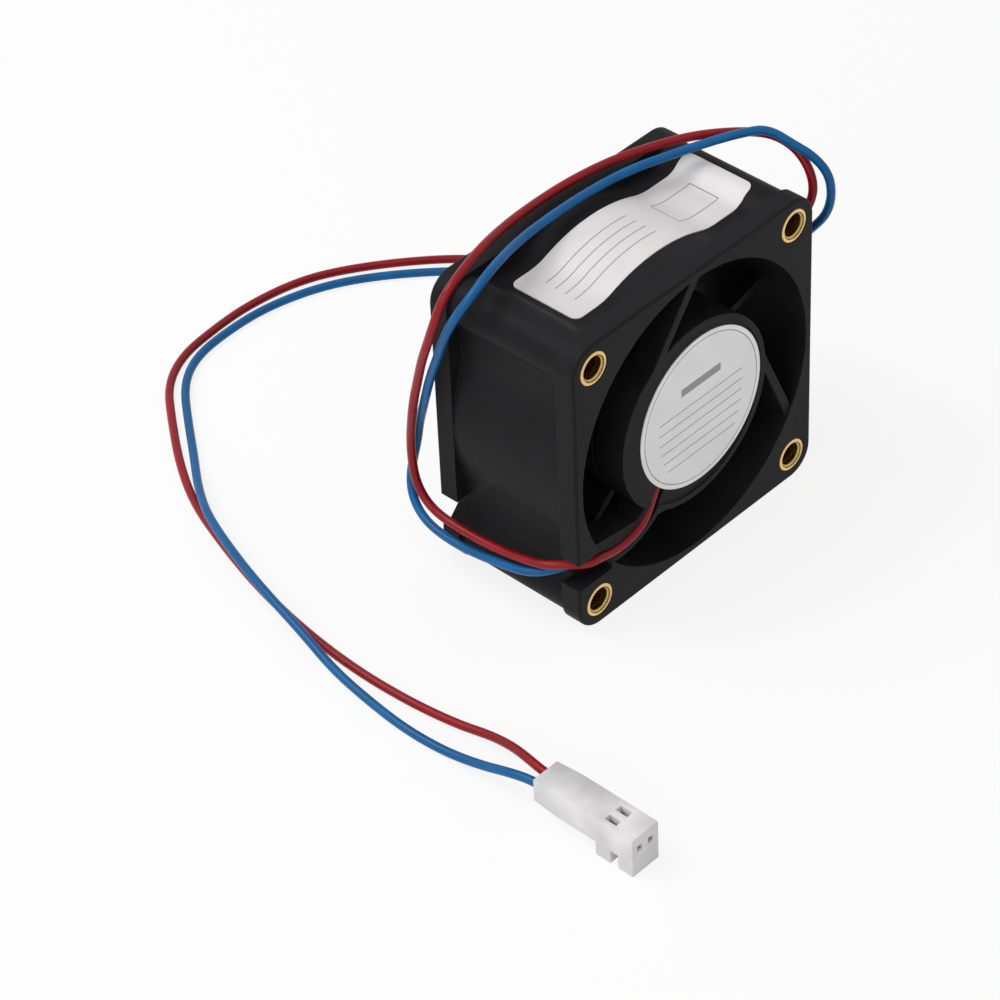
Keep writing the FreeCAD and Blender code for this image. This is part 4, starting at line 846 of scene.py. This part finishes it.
class FanPrintLabels(bpy.types.Operator):
    """Print the round hub label and the wide side label with plain rules"""

    bl_idname = "fan.print_labels"
    bl_label = "Print labels"

    def execute(self, context):
        labels = context.scene.fan_labels
        radius = (LABEL_HIGH.x - LABEL_LOW.x) / 2
        middle = (LABEL_HIGH.x + LABEL_LOW.x) / 2

        def hub_print(tree, base, place):
            x, _, z = place
            above = math_node(tree, "SUBTRACT", z, AXIS_HEIGHT)
            aside = math_node(tree, "SUBTRACT", x, middle)
            out = distance(tree, aside, above)
            rim = math_node(tree, "GREATER_THAN", out, radius - labels.rim_width)
            ring = stripe(tree, out, radius - labels.rim_width, labels.rule)
            heading = bar(
                tree, above, aside, HUB_HEADING_HEIGHT, HUB_HEADING_THICKNESS, HUB_HEADING_REACH
            )
            rows = []
            for height in [row * labels.row_pitch for row in HUB_ROWS]:
                reach = HUB_ROW_SHARE * math.sqrt(radius**2 - height**2)
                rows.append(bar(tree, above, aside, height, labels.rule, reach))
            return mix_colours(tree, rim, base, labels.rim), any_of(tree, [ring, heading, *rows])

        def side_print(tree, base, place):
            x, y, _ = place
            across = math_node(tree, "SUBTRACT", y, SIDE_LOW.y)
            along = math_node(tree, "SUBTRACT", x, SIDE_LOW.x + SIDE_ROW_MIDDLE)
            heights = [SIDE_FIRST_ROW + row * labels.row_pitch for row in SIDE_ROWS]
            rows = [bar(tree, across, along, height, labels.rule, SIDE_ROW_REACH) for height in heights]
            panel = empty_frame(tree, across, along, SIDE_PANEL, labels.rule)
            return base, any_of(tree, [panel, *rows])

        finish_label("hub_label_foil", labels.foil, labels.ink, hub_print, roughness=0.34)
        finish_label("side_label_paper", labels.paper, labels.ink, side_print, roughness=0.44)
        return {"FINISHED"}


class FanTurnBushes(bpy.types.Operator):
    """Turn one brass bush with rounded lips and a chamfered bore, and copy it to the four corners"""

    bl_idname = "fan.turn_bushes"
    bl_label = "Turn bushes"

    def execute(self, context):
        bush = self.turn(context.scene.fan_metals)
        for node in BUSH_NODES:
            low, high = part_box(node)
            copy = bush.copy()
            copy.data = bush.data.copy()
            copy.name = node.replace("mounting", "turned")
            copy.data.transform(Matrix.Translation((low + high) / 2))
            context.scene.collection.objects.link(copy)
            take(copy)
            bpy.ops.object.shade_smooth_by_angle(angle=BUSH_SMOOTH_ANGLE)
            hand_in(copy, "bush_brass")
            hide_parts(node)
        bpy.data.objects.remove(bush)
        return {"FINISHED"}

    def turn(self, metals):
        """One bush round the origin, along the fan's axis."""
        radius = (BUSH_HIGH.x - BUSH_LOW.x) / 2
        length = BUSH_HIGH.y - BUSH_LOW.y

        def is_end(face):
            return abs(face.normal.y) > FACING

        def is_over_bore(face):
            return is_end(face) and face.calc_center_median().xz.length < metals.bore / 2

        def on_end(edge, reach):
            ends = [vertex.co for vertex in edge.verts]
            return all(
                abs(abs(place.y) - length / 2) < ON_PLACE and abs(place.xz.length - reach) < ON_CIRCLE
                for place in ends
            )

        deselect()
        bpy.ops.mesh.primitive_cylinder_add(
            vertices=72, radius=radius, depth=length, location=(0.0, 0.0, 0.0),
            rotation=(math.pi / 2, 0.0, 0.0),
        )
        bush = bpy.context.object
        bpy.ops.object.transform_apply(location=True, rotation=True, scale=True)
        bpy.ops.object.mode_set(mode="EDIT")
        pick(bush, "FACE", is_end)
        bpy.ops.mesh.inset(thickness=radius - metals.bore)
        pick(bush, "FACE", is_over_bore)
        bpy.ops.mesh.delete(type="FACE")
        pick(bush, "EDGE", lambda edge: edge.is_boundary)
        bpy.ops.mesh.bridge_edge_loops()
        pick(bush, "EDGE", lambda edge: on_end(edge, radius))
        bpy.ops.mesh.bevel(offset=metals.lip, segments=4, affect="EDGES")
        pick(bush, "EDGE", lambda edge: on_end(edge, metals.bore))
        bpy.ops.mesh.bevel(offset=metals.chamfer, segments=1, affect="EDGES")
        tidy_mesh(bush)
        return bush


class FanMouldConnector(bpy.types.Operator):
    """Mould the white connector shell with its feet, windows, cavities and slimmer wire end"""

    bl_idname = "fan.mould_connector"
    bl_label = "Mould connector"

    def execute(self, context):
        plug = context.scene.fan_connector
        plastics = context.scene.fan_plastics
        # The last factor lightens the colour along the shell's edges as a painted highlight
        finish_moulding(
            "connector_nylon", plug.nylon, grain=plastics.grain, depth=0.012 * MM,
            roughness=0.34, edge=plug.edge, specular=0.5, edge_highlight=1.12,
        )
        low = SHELL_LOW + Vector((0.0, 0.0, plug.foot))
        shell = self.shape_body(plug, low, SHELL_HIGH)
        for cut_low, cut_high in self.cuts(plug, low, SHELL_HIGH):
            cutter = block("connector_cutter", cut_low, cut_high)
            apply_modifier(shell, "BOOLEAN", operation="DIFFERENCE", solver="EXACT", object=cutter)
            bpy.data.objects.remove(cutter)
        apply_modifier(
            shell, "BEVEL", width=plug.edge, segments=2, limit_method="ANGLE", angle_limit=SHELL_BEVEL_ANGLE
        )
        take(shell)
        bpy.ops.object.shade_smooth_by_angle(angle=SHELL_SMOOTH_ANGLE)
        hand_in(shell, "connector_nylon")
        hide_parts("connector_housing")
        return {"FINISHED"}

    def shape_body(self, plug, low, high):
        """The body between two corners, with locking feet below and a slimmer wire end."""
        middle = (low + high) / 2
        size = high - low
        first_foot = low.y + plug.foot_length
        second_foot = first_foot + plug.foot_gap
        second_end = second_foot + plug.foot_length

        def is_foot(face):
            place = face.calc_center_median().y
            return face.normal.z < -FACING and (place < first_foot or second_foot < place < second_end)

        shell = block("connector_shell", low, high)
        bpy.ops.object.mode_set(mode="EDIT")
        for place in (first_foot, second_foot, second_end, high.y - plug.collar):
            bpy.ops.mesh.select_all(action="SELECT")
            bpy.ops.mesh.bisect(plane_co=(middle.x, place, middle.z), plane_no=(0.0, 1.0, 0.0))
        pick(shell, "FACE", is_foot)
        bpy.ops.mesh.extrude_region_move(TRANSFORM_OT_translate={"value": (0.0, 0.0, -plug.foot)})
        pick(shell, "FACE", lambda face: face.calc_center_median().y > high.y - ON_PLACE)
        bpy.ops.transform.resize(
            value=((size.x - 2 * plug.step) / size.x, 1.0, (size.z - 2 * plug.step) / size.z),
            center_override=(middle.x, high.y, middle.z),
        )
        tidy_mesh(shell)
        return shell

    def cuts(self, plug, low, high):
        """Corners of the blocks that cut each contact's cavity, pin opening and lance window."""
        beyond = MM
        middle = (low + high) / 2
        inner = low.y + plug.end_wall
        window_start = low.y + plug.window_inset
        window_end = window_start + plug.window_length
        cavity, mouth, window = plug.cavity / 2, plug.mouth / 2, plug.window_width / 2
        for side in (-1, 1):
            centre = middle.x + side * plug.pitch / 2
            yield (
                (centre - cavity, inner, middle.z - cavity),
                (centre + cavity, high.y + beyond, middle.z + cavity),
            )
            yield (
                (centre - mouth, low.y - beyond, middle.z - mouth),
                (centre + mouth, inner + beyond, middle.z + mouth),
            )
            yield (
                (centre - window, window_start, middle.z),
                (centre + window, window_end, high.z + beyond),
            )


class FanRunLeads(bpy.types.Operator):
    """Run the red and blue leads from the board through the trough and round to the connector"""

    bl_idname = "fan.run_leads"
    bl_label = "Run leads"

    def execute(self, context):
        leads = context.scene.fan_leads
        finish_insulation("red_insulation", leads.red)
        finish_insulation("blue_insulation", leads.blue)
        runs = (
            ("red_wire_held", RED_HELD, "red_insulation", "red_lead_held"),
            ("blue_wire_held", BLUE_HELD, "blue_insulation", "blue_lead_held"),
            ("red_wire", RED_FREE, "red_insulation", "red_lead"),
            ("blue_wire", BLUE_FREE, "blue_insulation", "blue_lead"),
        )
        on_end = [bpy.data.objects["connector_shell"]]
        on_end += [frame["nodes"][node] for node in CONTACT_NODES]
        for name, route, slot, node in runs:
            wire = self.lay(name, route, leads.diameter)
            context.scene.collection.objects.link(wire)
            hand_in(wire, slot)
            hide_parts(node)
        return {"FINISHED"}

    def lay(self, name, route, diameter):
        """A round lead on one smooth curve along its route."""
        curve = bpy.data.curves.new(name, "CURVE")
        curve.dimensions = "3D"
        spline = curve.splines.new("NURBS")
        spline.points.add(len(route) - 1)
        for control, place in zip(spline.points, route):
            control.co = (*place, 1.0)
        spline.order_u = 3
        spline.use_endpoint_u = True
        curve.bevel_depth = diameter / 2
        curve.bevel_resolution = 5
        curve.resolution_u = 6
        curve.use_fill_caps = True
        return bpy.data.objects.new(name, curve)


class FanSetStage(bpy.types.Operator):
    """Lay the pale floor, hang the soft lights and set the camera"""

    bl_idname = "fan.set_stage"
    bl_label = "Set stage"

    def execute(self, context):
        stage = context.scene.fan_stage
        context.scene.view_settings.view_transform = "Standard"
        self.lay_floor(stage)
        self.light_sky(context.scene, stage)
        target = Vector((0.0, 0.0, AXIS_HEIGHT))
        self.hang_lamp("key_lamp", KEY_PLACE, target, KEY_SIZE, stage.key)
        self.hang_lamp("fill_lamp", FILL_PLACE, target, FILL_SIZE, stage.fill)
        self.set_camera(context.scene, stage, target)
        return {"FINISHED"}

    def seen(self, tree):
        """1 for rays that show the background: straight, mirrored or through glass."""
        path = add_node(tree, "ShaderNodeLightPath")
        shown = math_node(tree, "MAXIMUM", path.outputs["Is Camera Ray"], path.outputs["Is Glossy Ray"])
        return math_node(tree, "MAXIMUM", shown, path.outputs["Is Transmission Ray"])

    def lay_floor(self, stage):
        deselect()
        bpy.ops.mesh.primitive_plane_add(size=FLOOR_SIZE, location=(0.0, 0.0, -FLOOR_DROP))
        floor = bpy.context.object
        floor.name = "floor"
        material = bpy.data.materials.new("floor_pale")
        material.use_nodes = True
        tree = material.node_tree
        shader = tree.nodes["Principled BSDF"]
        set_inputs(tree, shader, {
            "Base Color": opaque(stage.floor), "Roughness": 0.9, "Specular IOR Level": 0.0,
        })
        white = add_node(tree, "ShaderNodeEmission", {"Strength": 1.0})
        hidden = math_node(tree, "MULTIPLY", self.seen(tree), stage.clean)
        mixed = add_node(tree, "ShaderNodeMixShader", {
            0: hidden, 1: shader.outputs["BSDF"], 2: white.outputs["Emission"],
        })
        tree.links.new(mixed.outputs["Shader"], tree.nodes["Material Output"].inputs["Surface"])
        floor.data.materials.append(material)

    def light_sky(self, scene, stage):
        """Even light all round, seen in the shade of the far floor so that no seam shows."""
        far_floor = stage.clean + (1.0 - stage.clean) * stage.floor[0] * stage.sky
        sky = bpy.data.worlds.new("sky_white")
        scene.world = sky
        sky.use_nodes = True
        tree = sky.node_tree
        strength = spread(tree, self.seen(tree), 0.0, 1.0, stage.sky, far_floor)
        set_inputs(tree, tree.nodes["Background"], {
            "Color": (1.0, 1.0, 1.0, 1.0), "Strength": strength,
        })

    def hang_lamp(self, name, place, target, size, power):
        light = bpy.data.lights.new(name, "AREA")
        light.shape = "DISK"
        light.size = size
        light.energy = power
        lamp = bpy.data.objects.new(name, light)
        lamp.location = place
        lamp.rotation_euler = (target - place).to_track_quat("-Z", "Y").to_euler()
        bpy.context.scene.collection.objects.link(lamp)

    def set_camera(self, scene, stage, target):
        turn, rise, roll = stage.azimuth, stage.elevation, stage.roll
        back = Vector((math.sin(turn) * math.cos(rise), -math.cos(turn) * math.cos(rise), math.sin(rise)))
        level = Vector((math.cos(turn), math.sin(turn), 0.0))
        upright = back.cross(level)
        right = level * math.cos(roll) + upright * math.sin(roll)
        up = upright * math.cos(roll) - level * math.sin(roll)
        place = target - right * stage.aside - up * stage.below + back * stage.distance
        data = bpy.data.cameras.new("photo_camera")
        data.lens = stage.lens
        data.sensor_width = SENSOR_WIDTH
        data.clip_start = 0.01
        camera = bpy.data.objects.new("photo_camera", data)
        camera.matrix_world = Matrix((
            (right.x, up.x, back.x, place.x),
            (right.y, up.y, back.y, place.y),
            (right.z, up.z, back.z, place.z),
            (0.0, 0.0, 0.0, 1.0),
        ))
        scene.collection.objects.link(camera)
        scene.camera = camera


SETTINGS = {
    "fan_plastics": FanPlastics,
    "fan_metals": FanMetals,
    "fan_labels": FanLabels,
    "fan_leads": FanLeads,
    "fan_connector": FanConnector,
    "fan_stage": FanStage,
}
OPERATORS = (
    FanDressPlastics, FanDressMotor, FanPrintLabels, FanTurnBushes, FanMouldConnector, FanRunLeads,
    FanSetStage,
)


class FanPanel(bpy.types.Panel):
    """Lists the fan's settings and steps"""

    bl_idname = "VIEW3D_PT_fan"
    bl_label = "Axial fan"
    bl_space_type = "VIEW_3D"
    bl_region_type = "UI"
    bl_category = "Fan"

    def draw(self, context):
        for setting, kind in SETTINGS.items():
            box = self.layout.box()
            box.label(text=kind.__doc__)
            for name in kind.__annotations__:
                box.prop(getattr(context.scene, setting), name)
        for operator in OPERATORS:
            self.layout.operator(operator.bl_idname)


def register():
    for kind in (*SETTINGS.values(), *OPERATORS, FanPanel):
        bpy.utils.register_class(kind)
    for setting, kind in SETTINGS.items():
        setattr(bpy.types.Scene, setting, bpy.props.PointerProperty(type=kind))


def unregister():
    for setting in SETTINGS:
        delattr(bpy.types.Scene, setting)
    for kind in (FanPanel, *reversed(OPERATORS), *reversed(list(SETTINGS.values()))):
        bpy.utils.unregister_class(kind)


def main():
    register()
    make_grain_group()
    make_edge_group()
    make_turned_group()
    bpy.ops.fan.dress_plastics()
    bpy.ops.fan.dress_motor()
    bpy.ops.fan.print_labels()
    bpy.ops.fan.turn_bushes()
    bpy.ops.fan.mould_connector()
    bpy.ops.fan.run_leads()
    bpy.ops.fan.set_stage()


if __name__ == "__main__":
    main()
